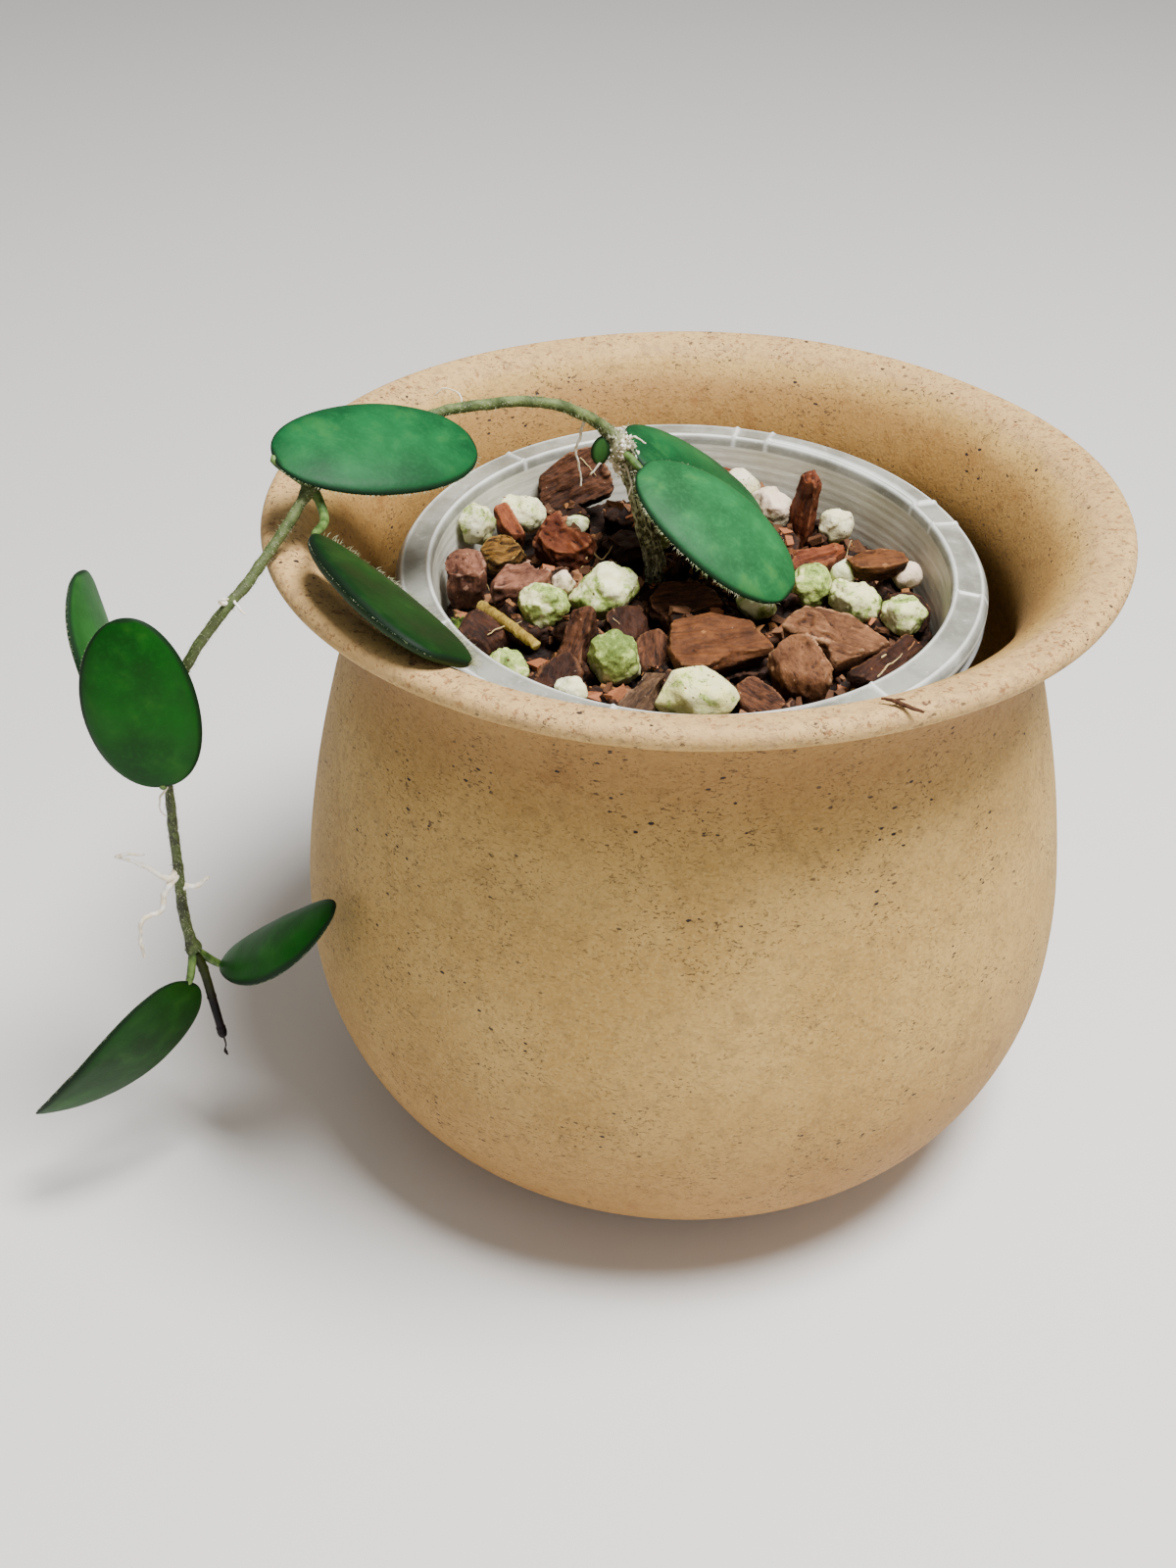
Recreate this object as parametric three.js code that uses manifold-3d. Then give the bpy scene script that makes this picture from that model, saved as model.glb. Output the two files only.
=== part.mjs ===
// Potted Hoya spectatissima: a young vine in bark and pumice, in a clear nursery pot, in a stoneware cachepot.
// Millimetres, +Z up. The origin is the centre of the cachepot's flat base. The vine hangs over the lip towards -X.
import * as THREE from "three";
import * as BufferGeometryUtils from "three/addons/utils/BufferGeometryUtils.js";
import Module from "manifold-3d";

const wasm = await Module();
wasm.setup();

// Driving dimensions
const GAP = 0.35; // between pieces that touch
const BED_GAP = 0.7; // between the fine mix and what lies in it
const WALL_GAP = 0.9; // between the chips or stones and the nursery pot's wall
const CORE_GAP = 0.5; // between the fine mix and that wall
const POT_HEIGHT = 146.4;
const POT_LIP_RADIUS = 85.2;
const POT_BELLY_RADIUS = 82.6;
const POT_NECK_RADIUS = 69.6;
const POT_BASE_RADIUS = 44;
const POT_WALL = 4.4;
const POT_FLOOR = 6.7;
const LIP_ROUND = 2.27; // radius of the rounded lip
const INNER_HEIGHT = 121.5; // nursery pot
const INNER_RIM_RADIUS = 60;
const INNER_MOUTH_RADIUS = 52.7;
const INNER_BASE_RADIUS = 42;
const INNER_WALL = 1.2;
const INNER_PLACE = [-1.5, 8.3, 9.3]; // centre of the nursery pot's underside
const INNER_LEAN = [0.053, 0.0096, 0]; // radians: its back edge stands up on the cachepot's curved corner
const MIX_LEVEL = 107; // top of the fine mix, above the nursery pot's underside
const FREE_LEVEL = 150; // above all that lies in the nursery pot
const DRAINS = 8; // holes in the nursery pot's bottom
const DRAIN_RADIUS = 1.9;
const DRAIN_REACH = 30;
const LEAF_THICKNESS = 2.1;

const degrees = THREE.MathUtils.degToRad;
const vector = (point) => new THREE.Vector3(...point);

// Seeded random numbers between 0 and 1
function randomFrom(seed) {
  let state = seed * 7919 + 17;
  return () => {
    state = (state * 1664525 + 1013904223) % 4294967296;
    return state / 4294967296;
  };
}

// A geometry with shared corners and its faces pointing out
function welded(geometry) {
  geometry.deleteAttribute("normal");
  geometry.deleteAttribute("uv");
  const merged = BufferGeometryUtils.mergeVertices(geometry, 1e-4);
  const place = merged.attributes.position;
  const index = merged.index.array;
  const corner = [0, 1, 2].map(() => new THREE.Vector3());
  let volume = 0;
  for (let i = 0; i < index.length; i += 3) {
    corner.forEach((point, k) => point.fromBufferAttribute(place, index[i + k]));
    volume += corner[0].dot(corner[1].clone().cross(corner[2]));
  }
  if (volume < 0) {
    for (let i = 0; i < index.length; i += 3) {
      [index[i], index[i + 1]] = [index[i + 1], index[i]];
    }
  }
  return merged;
}

function toSolid(geometry) {
  const merged = welded(geometry);
  const vertProperties = new Float32Array(merged.attributes.position.array);
  const triVerts = new Uint32Array(merged.index.array);
  return new wasm.Manifold(new wasm.Mesh({ numProp: 3, vertProperties, triVerts }));
}

function toGeometry(solid) {
  const mesh = solid.getMesh();
  const geometry = new THREE.BufferGeometry();
  geometry.setAttribute("position", new THREE.BufferAttribute(mesh.vertProperties, 3));
  geometry.setIndex(new THREE.BufferAttribute(mesh.triVerts, 1));
  return geometry;
}

// The largest body of a cut solid, without loose scraps or slivers
function mainBody(solid, tolerance = 0.04) {
  const bodies = solid.simplify(tolerance).decompose();
  bodies.sort((a, b) => b.volume() - a.volume());
  return bodies[0];
}

function finish(color, roughness, metalness = 0) {
  return new THREE.MeshStandardMaterial({ color, roughness, metalness, flatShading: true });
}

const STONEWARE = finish(0xb89d75, 0.8);
const CLEAR_PLASTIC = finish(0xb9bcb8, 0.3);
const FINE_MIX = finish(0x3a241a, 0.95);
const BARK = finish(0x7a4a30, 0.9);
const PUMICE = finish(0xd9dcc4, 0.9);
const VINE = finish(0x75814f, 0.7);
const YOUNG_SHOOT = finish(0x3b2230, 0.5);
const LEAF = finish(0x2f7a3c, 0.4);

function named(name, geometry, material) {
  const mesh = new THREE.Mesh(geometry, material);
  mesh.name = name;
  return mesh;
}

// A profile of [radius, height] turned about Z
function turned(profile, segments) {
  const points = profile.map(([radius, height]) => new THREE.Vector2(radius, height));
  const geometry = new THREE.LatheGeometry(points, segments);
  geometry.rotateX(Math.PI / 2);
  return welded(geometry);
}

// A round limb along a smooth curve, its radius interpolated along the given list
function limb(points, radii, sides = 8, steps = points.length * 2) {
  const curve = new THREE.CatmullRomCurve3(points.map(vector), false, "centripetal");
  const frames = curve.computeFrenetFrames(steps, false);
  const geometry = new THREE.CylinderGeometry(1, 1, 1, sides, steps);
  const place = geometry.attributes.position;
  const point = new THREE.Vector3();
  for (let i = 0; i < place.count; i += 1) {
    const along = place.getY(i) + 0.5;
    const step = Math.round(along * steps);
    const slot = Math.min(along * (radii.length - 1), radii.length - 1.0001);
    const low = Math.floor(slot);
    const radius = THREE.MathUtils.lerp(radii[low], radii[low + 1], slot - low);
    curve.getPointAt(along, point);
    point.addScaledVector(frames.binormals[step], place.getX(i) * radius);
    point.addScaledVector(frames.normals[step], place.getZ(i) * radius);
    place.setXYZ(i, point.x, point.y, point.z);
  }
  return geometry;
}

function knob(centre, radius, stretch = 1) {
  const geometry = new THREE.SphereGeometry(radius, 8, 6);
  geometry.scale(1, 1, stretch);
  geometry.translate(...centre);
  return geometry;
}

// Cachepot: belly, neck and flared lip from one spline, the inside offset from the outside
function cachepot() {
  const outside = new THREE.SplineCurve([
    new THREE.Vector2(POT_BASE_RADIUS + 12.5, 2.6),
    new THREE.Vector2(POT_BELLY_RADIUS - 9, 19),
    new THREE.Vector2(POT_BELLY_RADIUS - 1.5, 37),
    new THREE.Vector2(POT_BELLY_RADIUS, 56),
    new THREE.Vector2(POT_BELLY_RADIUS - 3.2, 82),
    new THREE.Vector2(POT_NECK_RADIUS + 4.6, 105),
    new THREE.Vector2(POT_NECK_RADIUS + 0.4, 120),
    new THREE.Vector2(POT_NECK_RADIUS + 0.4, 128),
    new THREE.Vector2(POT_NECK_RADIUS + 4, 136),
    new THREE.Vector2(POT_LIP_RADIUS - 4.2, POT_HEIGHT - 4.2),
  ]);
  const steps = 12;
  const outer = [];
  const inner = [];
  for (let i = 0; i <= steps; i += 1) {
    const point = outside.getPoint(i / steps);
    const tangent = outside.getTangent(i / steps);
    const thickness = POT_WALL + 3.4 * Math.exp(-((point.y / 20) ** 2));
    outer.push([point.x, point.y]);
    inner.unshift([point.x - tangent.y * thickness, point.y + tangent.x * thickness]);
  }
  const lip = [];
  for (const turn of [-45, -10, 25, 60, 95]) {
    const x = POT_LIP_RADIUS - LIP_ROUND + LIP_ROUND * Math.cos(degrees(turn));
    const y = POT_HEIGHT - LIP_ROUND + LIP_ROUND * Math.sin(degrees(turn));
    lip.push([x, y]);
  }
  const floor = inner.filter(([radius]) => radius > 50);
  return turned(
    [[0, 0], [POT_BASE_RADIUS, 0], ...outer, ...lip, ...floor, [34, POT_FLOOR], [0, POT_FLOOR]],
    40,
  );
}

// Nursery pot: a thin tapered cup with a flat rim and a turned-down edge, drained through its bottom
const innerRadiusAt = (height) => {
  const share = height / INNER_HEIGHT;
  return THREE.MathUtils.lerp(INNER_BASE_RADIUS - INNER_WALL, INNER_MOUTH_RADIUS, share);
};

function nurseryPot() {
  const top = INNER_HEIGHT;
  const edge = INNER_RIM_RADIUS;
  const shell = turned(
    [
      [0, 0],
      [INNER_BASE_RADIUS - 1, 0],
      [INNER_BASE_RADIUS, 1],
      [innerRadiusAt(top - 3) + INNER_WALL, top - 3],
      [INNER_MOUTH_RADIUS + 2, top - 1.6],
      [edge - 2.2, top - 2.3],
      [edge - INNER_WALL, top - 3.2],
      [edge - INNER_WALL, top - 8],
      [edge, top - 8],
      [edge, top - 2.2],
      [edge - 1.2, top - 0.9],
      [INNER_MOUTH_RADIUS + 0.6, top],
      [INNER_MOUTH_RADIUS, top - 0.6],
      [innerRadiusAt(1.5), 1.5],
      [0, 1.5],
    ],
    40,
  );
  let pot = toSolid(shell);
  for (let i = 0; i < DRAINS; i += 1) {
    const drain = new THREE.CylinderGeometry(DRAIN_RADIUS, DRAIN_RADIUS, 6, 8);
    drain.rotateX(Math.PI / 2);
    const turn = (i / DRAINS) * Math.PI * 2;
    drain.translate(DRAIN_REACH * Math.cos(turn), DRAIN_REACH * Math.sin(turn), 0);
    pot = pot.subtract(toSolid(drain));
  }
  return toGeometry(pot);
}

// The room that the mix fills, up to the given height and clear of the nursery pot's wall
function room(top, gap) {
  return toSolid(turned([
    [0, 1.5 + GAP],
    [innerRadiusAt(1.5) - gap, 1.5 + GAP],
    [innerRadiusAt(top) - gap, top],
    [0, top],
  ], 28));
}

// A flat flake of bark: the outline of its sloping upper face, its edge worn round and its underside narrower
const FLAKE_RINGS = [{ width: 0.92, drop: 0 }, { width: 1, drop: 0.35 }, { width: 0.8, drop: 1 }];
const FLAKE_ROUGHNESS = 0.45;

function flake(piece, extra = 0) {
  const random = randomFrom(piece.seed);
  const shift = () => (random() * 2 - 1) * FLAKE_ROUGHNESS;
  const corners = piece.outline.map(([x, y]) => new THREE.Vector2(x, y));
  if (THREE.ShapeUtils.isClockWise(corners)) corners.reverse();
  const count = corners.length;
  const centre = corners.reduce((sum, corner) => sum.add(corner), new THREE.Vector2()).divideScalar(count);
  const wider = corners.map((corner, k) => {
    const back = corner.clone().sub(corners[(k + count - 1) % count]).normalize();
    const onward = corners[(k + 1) % count].clone().sub(corner).normalize();
    const out = new THREE.Vector2(back.y + onward.y, -back.x - onward.x);
    return corner.clone().addScaledVector(out, extra / Math.max(1 + back.dot(onward), 0.4));
  });
  const points = FLAKE_RINGS.flatMap(({ width, drop }) => wider.map((corner) => {
    const offset = corner.clone().sub(centre);
    const level = piece.level + piece.slope[0] * offset.x + piece.slope[1] * offset.y;
    const margin = extra * (1 - 2 * drop);
    const x = centre.x + offset.x * width + shift();
    const y = centre.y + offset.y * width + shift();
    return [x, y, level - drop * piece.thick + margin + shift()];
  }));
  const faces = [];
  const last = (FLAKE_RINGS.length - 1) * count;
  THREE.ShapeUtils.triangulateShape(corners, []).forEach(([a, b, c]) => {
    faces.push(a, b, c, last + a, last + c, last + b);
  });
  for (let low = count; low <= last; low += count) {
    for (let k = 0; k < count; k += 1) {
      const next = (k + 1) % count;
      const high = low - count;
      faces.push(low + k, low + next, high + next, low + k, high + next, high + k);
    }
  }
  const geometry = new THREE.BufferGeometry();
  geometry.setAttribute("position", new THREE.Float32BufferAttribute(points.flat(), 3));
  geometry.setIndex(faces);
  return toSolid(geometry);
}

// A lump of pumice or bark: a ball or a block with its corners moved at random
const BLOCK_EDGE = 1.7;

function lump(piece, extra = 0) {
  if (piece.outline) return flake(piece, extra);
  const random = randomFrom(piece.seed);
  const block = piece.block === true;
  const parts = piece.crumb ? 1 : 2;
  const cube = new THREE.BoxGeometry(BLOCK_EDGE, BLOCK_EDGE, BLOCK_EDGE, parts, parts, 1);
  const geometry = welded(block ? cube : new THREE.IcosahedronGeometry(1, 1));
  const place = geometry.attributes.position;
  const rough = block ? 0.17 : 0.13;
  for (let i = 0; i < place.count; i += 1) {
    const taper = block ? 1 - (piece.taper ?? 0.2) * place.getX(i) : 1;
    const shift = () => (random() * 2 - 1) * rough;
    place.setXYZ(
      i,
      (place.getX(i) + shift()) * (piece.size[0] / 2 + extra),
      (place.getY(i) * taper + shift()) * (piece.size[1] / 2 + extra),
      (place.getZ(i) + shift()) * (piece.size[2] / 2 + extra),
    );
  }
  const turn = (piece.turn ?? [0, 0, 0]).map(degrees);
  geometry.applyMatrix4(new THREE.Matrix4().makeRotationFromEuler(new THREE.Euler(...turn, "ZYX")));
  geometry.translate(...piece.at);
  return toSolid(geometry);
}

// Pumice stones, each at its place in the nursery pot's own frame
const STONES = [
  { at: [-46.5, 17.5, 117], size: [8.6, 8.6, 9] },
  { at: [-36.5, 26, 115.2], size: [10, 8, 7], turn: [0, 10, 0] },
  { at: [-25, 26, 113], size: [4.4, 4, 3.6] },
  { at: [-17.5, -3, 114.5], size: [13, 10.5, 9.6], turn: [0, -12, 15] },
  { at: [-29.5, -9, 114.5], size: [10, 9.6, 9.4] },
  { at: [-26, -0.5, 114], size: [5, 4.6, 6.4] },
  { at: [-14, -25.5, 114], size: [10, 9.5, 10.5] },
  { at: [-35, -27, 111.3], size: [9, 7.5, 7], turn: [0, 0, -30] },
  { at: [-21.5, -37.5, 114], size: [6.4, 5, 5.4], turn: [0, 0, -30] },
  { at: [2.5, -37.5, 114.5], size: [17.5, 10, 10], turn: [0, 14, 4] },
  { at: [-6.5, 25, 112], size: [5, 5, 6] },
  { at: [10.5, 43, 114.6], size: [8, 7, 7], turn: [0, 0, -10] },
  { at: [17.5, 37.5, 113], size: [10.5, 7.5, 7], turn: [0, 20, -30] },
  { at: [31, 30, 113.4], size: [7, 7, 7.6] },
  { at: [25.4, 7.5, 112], size: [9.4, 8.6, 9.6], turn: [0, 0, 50] },
  { at: [34.2, 1.5, 112.4], size: [11.4, 9, 7.4], turn: [0, 10, -20] },
  { at: [43.4, -4, 113], size: [9.2, 8, 7] },
  { at: [45.2, 12, 112.6], size: [6.4, 6, 5.4] },
  { at: [14, 1, 110.4], size: [9, 6.4, 5] },
  { at: [32, 10.5, 112.8], size: [5, 4.4, 7.4], turn: [0, 12, 0] },
];

// Larger chips of bark, in the same frame: blocks by their place, size and turn, flakes by their outline
const CHIPS = [
  { at: [-26.5, 38.5, 116.6], size: [18, 6.5, 12.5], turn: [-38, -14, 12], taper: 0.05 },
  { level: 117.5, slope: [-0.1, 0.45], thick: 7, outline: [
    [-33, 13], [-31.5, 18.5], [-29, 20], [-27, 16], [-20.5, 15], [-21, 12.5], [-24, 10], [-29, 10],
  ] },
  { level: 117, slope: [0, 0.5], thick: 6.2, outline: [
    [-43.5, 24], [-41, 25.5], [-38, 22], [-35.5, 17.5], [-38, 17], [-41.5, 20],
  ] },
  { level: 115.6, slope: [0, 0.4], thick: 6, outline: [
    [-45.5, 11.5], [-43, 14.5], [-40, 16], [-37, 14.5], [-34.5, 11.5], [-36.5, 8.5], [-41, 7.5],
  ] },
  { level: 117.6, slope: [0.1, 0.5], thick: 8.5, outline: [
    [-51, 1], [-50, 4.5], [-46, 4.5], [-43, 3], [-41.5, -2.5], [-45, -2.5], [-50, -1.5],
  ] },
  { level: 117, slope: [0, 0.4], thick: 8, outline: [
    [-41, -2], [-39.5, 1.5], [-36, 2], [-33.5, 4], [-31.5, 1], [-28, 0], [-29.5, -3],
    [-34.5, -4.5], [-40, -5],
  ] },
  { at: [-21.5, -20.5, 114], size: [15, 6.5, 7], turn: [0, -48, 72], taper: 0.25 },
  { level: 115.5, slope: [0, 0.55], thick: 6.5, outline: [
    [-29.5, -35], [-26.5, -31], [-22.5, -28.5], [-20, -33.5], [-20, -36.5], [-25, -37.5],
  ] },
  { level: 114.5, slope: [0, 0.3], thick: 6.5, outline: [
    [-18, -11.5], [-13.5, -7.5], [-9.5, -8.5], [-7.5, -13], [-9.5, -17.5], [-14, -17],
  ] },
  { level: 113, slope: [0, 0.15], thick: 6, outline: [
    [-9, 1.5], [-5.5, 5], [0, 5.5], [5.5, 3.5], [8, -1], [0.5, -5], [-3.5, -9], [-8, -4.5],
  ] },
  { level: 116.4, slope: [-0.05, 0.2], thick: 5, outline: [
    [-3.5, -15], [5.5, -12.5], [13, -13], [13.5, -17], [18.5, -20], [10, -23.5], [3, -28.5],
    [-3, -28.5], [-4, -21.5],
  ] },
  { level: 115.2, slope: [-0.1, 0.25], thick: 5.5, outline: [
    [17, -13.5], [23.5, -8], [29.5, -9], [35.5, -10], [41.5, -14], [36.5, -18.5], [30, -22.5],
    [27, -18], [21.5, -16],
  ] },
  { level: 119, slope: [0, 0.55], thick: 9.5, outline: [
    [15.5, -28.5], [17.5, -25.5], [21.5, -24], [26, -27], [29, -30.5], [27.5, -34], [23.5, -34.5],
    [18.5, -32.5],
  ] },
  { level: 114.6, slope: [0, 0.45], thick: 6.5, outline: [
    [-14.5, -39.5], [-11, -36], [-7.5, -32], [-3.5, -31], [-5, -35], [-4.5, -40], [-10.5, -41],
  ] },
  { level: 114.2, slope: [0, 0.35], thick: 6, outline: [
    [8, -33.5], [12.5, -31.5], [16, -33.5], [20, -37], [17, -39.5], [12.5, -40],
  ] },
  { at: [24.2, 33.5, 114.5], size: [20, 8, 4], turn: [10, -78, 30], taper: 0.42 },
  { level: 116.2, slope: [0, 0.35], thick: 5.5, outline: [
    [20.5, 10], [21.5, 14], [27, 14.5], [31, 17], [33.5, 15], [29.5, 10.5], [25, 8.5],
  ] },
  { level: 117.6, slope: [0, 0.15], thick: 4, outline: [
    [31.5, 10.5], [36, 13.5], [41, 13.5], [45, 13], [45.5, 10], [40.5, 7.5], [34, 7],
  ] },
  { level: 113, slope: [0, 0.3], thick: 5, outline: [
    [40, 3], [44, 4.5], [48.5, 3.5], [50, -0.5], [47.5, -4.5], [42, -2],
  ] },
  { at: [39.5, -21.5, 113.2], size: [21, 5, 4.4], turn: [20, 0, 52], taper: 0.12 },
  { at: [5, 49, 111.6], size: [8, 4.6, 9], turn: [-14, 0, 4], taper: 0.1 },
  { at: [-13.5, 20.5, 110.6], size: [10, 9, 7], turn: [0, 10, 40], taper: 0.1 },
  { level: 112.5, slope: [0, 0.25], thick: 5, outline: [
    [-9.5, -16], [-6.5, -14], [-3.5, -16], [-2.5, -21.5], [-6, -25], [-9.5, -22],
  ] },
  { level: 114.5, slope: [-0.3, 0.4], thick: 5.5, outline: [
    [-45.5, -19.5], [-43.5, -14.5], [-39.5, -14.5], [-36, -17.5], [-39, -21.5], [-42.5, -21.5],
  ] },
];

// The vine's route, from its roots up through the first node, over the lip and down
const NODE_1 = [-15.9, 14, 149.2];
const NODE_2 = [-71.2, -24, 156.8];
const NODE_3 = [-100, -46, 106.7];
const NODE_4 = [-100.4, -43, 58.9];
const FOOT = [
  [-8.2, 16.6, 101], [-8.2, 16.4, 110], [-8, 15.8, 122], [-9.9, 15, 130.2], [-12.1, 14.5, 139.4], NODE_1,
];
const ARCH = [
  NODE_1, [-19.9, 12, 155], [-24.1, 10, 158.1], [-27.8, 8, 160.5], [-35.5, 6.5, 161.7], [-41.2, 6, 161.1],
  [-48.8, 4.5, 160.4], [-52.5, 3, 159.6], [-59.3, -3, 158.8], [-63, -9, 158.4], [-66.8, -15, 157.7], NODE_2,
];
const OVER_LIP = [
  NODE_2, [-74.8, -29.5, 152], [-78.6, -34.6, 147.4], [-81.7, -39, 143.8], [-84, -42, 141.9], [-88, -45, 137.3],
  [-92.4, -46.5, 130.6], [-95.9, -46, 121.5], [-98.9, -46, 112.4], NODE_3,
];
const HANGING = [
  NODE_3, [-99.6, -45.5, 101.5], [-100.3, -44.5, 90.2], [-100.6, -44, 82.4], [-101.1, -43.5, 69.3], NODE_4,
];

const ROOTS = [
  [[-8.2, 16.6, 106], [-16, 19, 98], [-25, 20, 86], [-29, 21, 70]],
  [[-8.2, 16.6, 106], [-2, 22, 97], [6, 30, 88], [9, 34, 72]],
  [[-8.2, 16.6, 106], [-4, 9, 96], [2, 0, 84], [6, -6, 64]],
  [[-8.2, 16.6, 104], [-13, 11, 92], [-17, 5, 78], [-18, 2, 58]],
];

// Roots in the air, from below the second leaf pair and above the last one
const AIR_ROOTS = [
  [[-100.5, -44, 81], [-102.3, -46, 79.6], [-105.9, -47, 83.2], [-110.3, -50, 88.4]],
  [[-100.5, -44, 80], [-103, -47, 77], [-104, -48, 72.8], [-107.7, -50, 71.6], [-108.7, -49.5, 61.6]],
  [[-100.6, -43.8, 76], [-98, -42.6, 75.6], [-95.5, -42, 77.4]],
];

// A route whose last point is moved on by the given length
function lengthened(route, extra) {
  const last = vector(route[route.length - 1]);
  const onward = last.clone().sub(vector(route[route.length - 2])).normalize();
  last.addScaledVector(onward, extra);
  return [...route.slice(0, -1), [last.x, last.y, last.z]];
}

function stem(extra) {
  const grow = (radii) => radii.map((radius) => radius + extra);
  const pieces = [
    limb(FOOT, grow([1.7, 2, 2.1, 1.9, 1.9, 2.1]), 8, 7),
    limb(ARCH, grow([1.25, 1.1, 1.05, 1.05, 1.1, 1.2]), 7, 15),
    limb(OVER_LIP, grow([1.15, 1, 0.95, 0.95, 1.05]), 7, 13),
    limb(HANGING, grow([1.05, 0.9, 0.9, 1, 1.25]), 7, 7),
    knob(FOOT[0], 2 + extra),
    knob(NODE_1, 2.7 + extra, 1.25),
    knob(NODE_2, 1.8 + extra),
    knob(NODE_3, 1.5 + extra, 1.2),
    knob(NODE_4, 1.65 + extra, 1.3),
    ...ROOTS.map((route) => limb(lengthened(route, extra), grow([1.2, 1, 0.8, 0.6]), 5, 5)),
    ...AIR_ROOTS.map((route) => limb(route, grow([0.45, 0.4, 0.35]), 5, route.length * 2)),
  ];
  return wasm.Manifold.union(pieces.map(toSolid));
}

// Leaves: base of the blade, heading and rise of the midrib, roll about it, and the blade's own form.
// fore and aft set how full the two ends are; sag is the bend along the midrib, cup the fall to the margins.
const LEAVES = [
  { name: "leaf_1a", node: NODE_1, base: [-14.8, 17.9, 149.4], heading: 17, rise: -26, roll: 12,
    length: 37.5, width: 23.9, sag: 0.3, cup: 1.9, aft: 0.47, fore: 0.56, bow: -0.2 },
  { name: "leaf_1b", node: NODE_1, base: [-11.4, 8.9, 147.1], heading: -23, rise: -20, roll: 9,
    length: 39.7, width: 24.1, sag: 0.44, cup: 1.2, aft: 0.48, fore: 0.44, bow: 0.2 },
  { name: "leaf_2a", node: NODE_2, base: [-77.8, -24.3, 162.6], heading: 30, rise: 1, roll: 21,
    length: 41.7, width: 24.3, sag: 0.36, cup: 1.4, aft: 0.46, fore: 0.44, bow: -0.3 },
  { name: "leaf_2b", node: NODE_2, base: [-68.4, -35.4, 154.3], heading: -44, rise: -13.5, roll: -30,
    length: 43, width: 23, sag: -0.03, cup: 1.7, aft: 0.6, fore: 0.38, bow: 0.1,
    petiole: [[-69.2, -26.5, 154.6], [-67.9, -30.5, 153.2]] },
  { name: "leaf_3a", node: NODE_3, base: [-103, -44.9, 107.6], heading: 140, rise: 58, roll: 47,
    length: 38.4, width: 24, sag: -0.2, cup: 2, aft: 0.51, fore: 0.38, bow: 0.2 },
  { name: "leaf_3b", node: NODE_3, base: [-98.8, -50.8, 106.1], heading: -115, rise: 82, roll: -146,
    length: 36.6, width: 21.5, sag: 0.31, cup: 1.2, aft: 0.44, fore: 0.49, bow: 0.6 },
  { name: "leaf_4a", node: NODE_4, base: [-101, -46.6, 52.9], heading: -128, rise: -44, roll: -99,
    length: 45, width: 24.4, sag: 0.79, cup: 0.8, aft: 0.43, fore: 0.5, bow: 0.2 },
  { name: "leaf_4b", node: NODE_4, base: [-97.3, -36.5, 48.2], heading: -18, rise: 40.5, roll: 15,
    length: 35.6, width: 19.5, sag: 0.1, cup: 2.2, aft: 0.52, fore: 0.5, bow: 0 },
];

function leafFrame(leaf) {
  const heading = degrees(leaf.heading);
  const rise = degrees(leaf.rise);
  const roll = degrees(leaf.roll);
  const along = new THREE.Vector3(
    Math.cos(rise) * Math.cos(heading),
    Math.cos(rise) * Math.sin(heading),
    Math.sin(rise),
  );
  const level = new THREE.Vector3(-Math.sin(heading), Math.cos(heading), 0);
  const steep = along.clone().cross(level);
  const across = level.multiplyScalar(Math.cos(roll)).addScaledVector(steep, Math.sin(roll));
  const up = along.clone().cross(across);
  return { along, across, up };
}

// A blade is a ball whose poles become the leaf's base and tip
function blade(leaf) {
  const { along, across, up } = leafFrame(leaf);
  const geometry = new THREE.SphereGeometry(1, 10, 11);
  const place = geometry.attributes.position;
  const peak = leaf.aft / (leaf.aft + leaf.fore);
  const fullest = peak ** leaf.aft * (1 - peak) ** leaf.fore;
  for (let i = 0; i < place.count; i += 1) {
    const share = THREE.MathUtils.clamp((1 - place.getY(i)) / 2, 0, 1);
    const ring = Math.sqrt(Math.max(1 - place.getY(i) ** 2, 1e-12));
    const side = share < 1e-6 || share > 1 - 1e-6 ? 0 : place.getX(i) / ring;
    const face = Math.sign(Math.round(place.getZ(i) * 1e6));
    const spread = share ** leaf.aft * (1 - share) ** leaf.fore / fullest;
    const bend = leaf.sag * share;
    const forward = (leaf.length * Math.sin(bend)) / leaf.sag;
    const fall = (-leaf.length * (1 - Math.cos(bend))) / leaf.sag;
    const bow = leaf.bow * 4 * share * (1 - share);
    const round = (4 * share * (1 - share)) ** 0.35 * Math.sqrt(Math.max(1 - side ** 4, 0));
    const thick = (LEAF_THICKNESS / 2) * round;
    const lift = face * thick - leaf.cup * (spread * side) ** 2;
    const point = vector(leaf.base);
    point.addScaledVector(along, forward + Math.sin(bend) * lift);
    point.addScaledVector(up, fall + Math.cos(bend) * lift);
    point.addScaledVector(across, bow + (side * spread * leaf.width) / 2);
    place.setXYZ(i, point.x, point.y, point.z);
  }
  return geometry;
}

function leafSolid(leaf, clearedFor) {
  const { along } = leafFrame(leaf);
  const inside = vector(leaf.base).addScaledVector(along, 3);
  const route = [leaf.node, ...(leaf.petiole ?? []), leaf.base, [inside.x, inside.y, inside.z]];
  const petiole = limb(route, [0.95, 0.85, 0.8], 7, route.length + 1);
  const whole = toSolid(blade(leaf)).add(toSolid(petiole));
  return mainBody(whole.subtract(clearedFor));
}

const fatStem = stem(GAP);
const object = new THREE.Group();
object.add(named("cachepot", cachepot(), STONEWARE));

// What stands in the cachepot leans with the nursery pot
const leaning = new THREE.Group();
leaning.position.set(...INNER_PLACE);
leaning.rotation.set(...INNER_LEAN);
leaning.updateMatrix();
object.add(leaning);
leaning.add(named("nursery_pot", nurseryPot(), CLEAR_PLASTIC));

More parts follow.
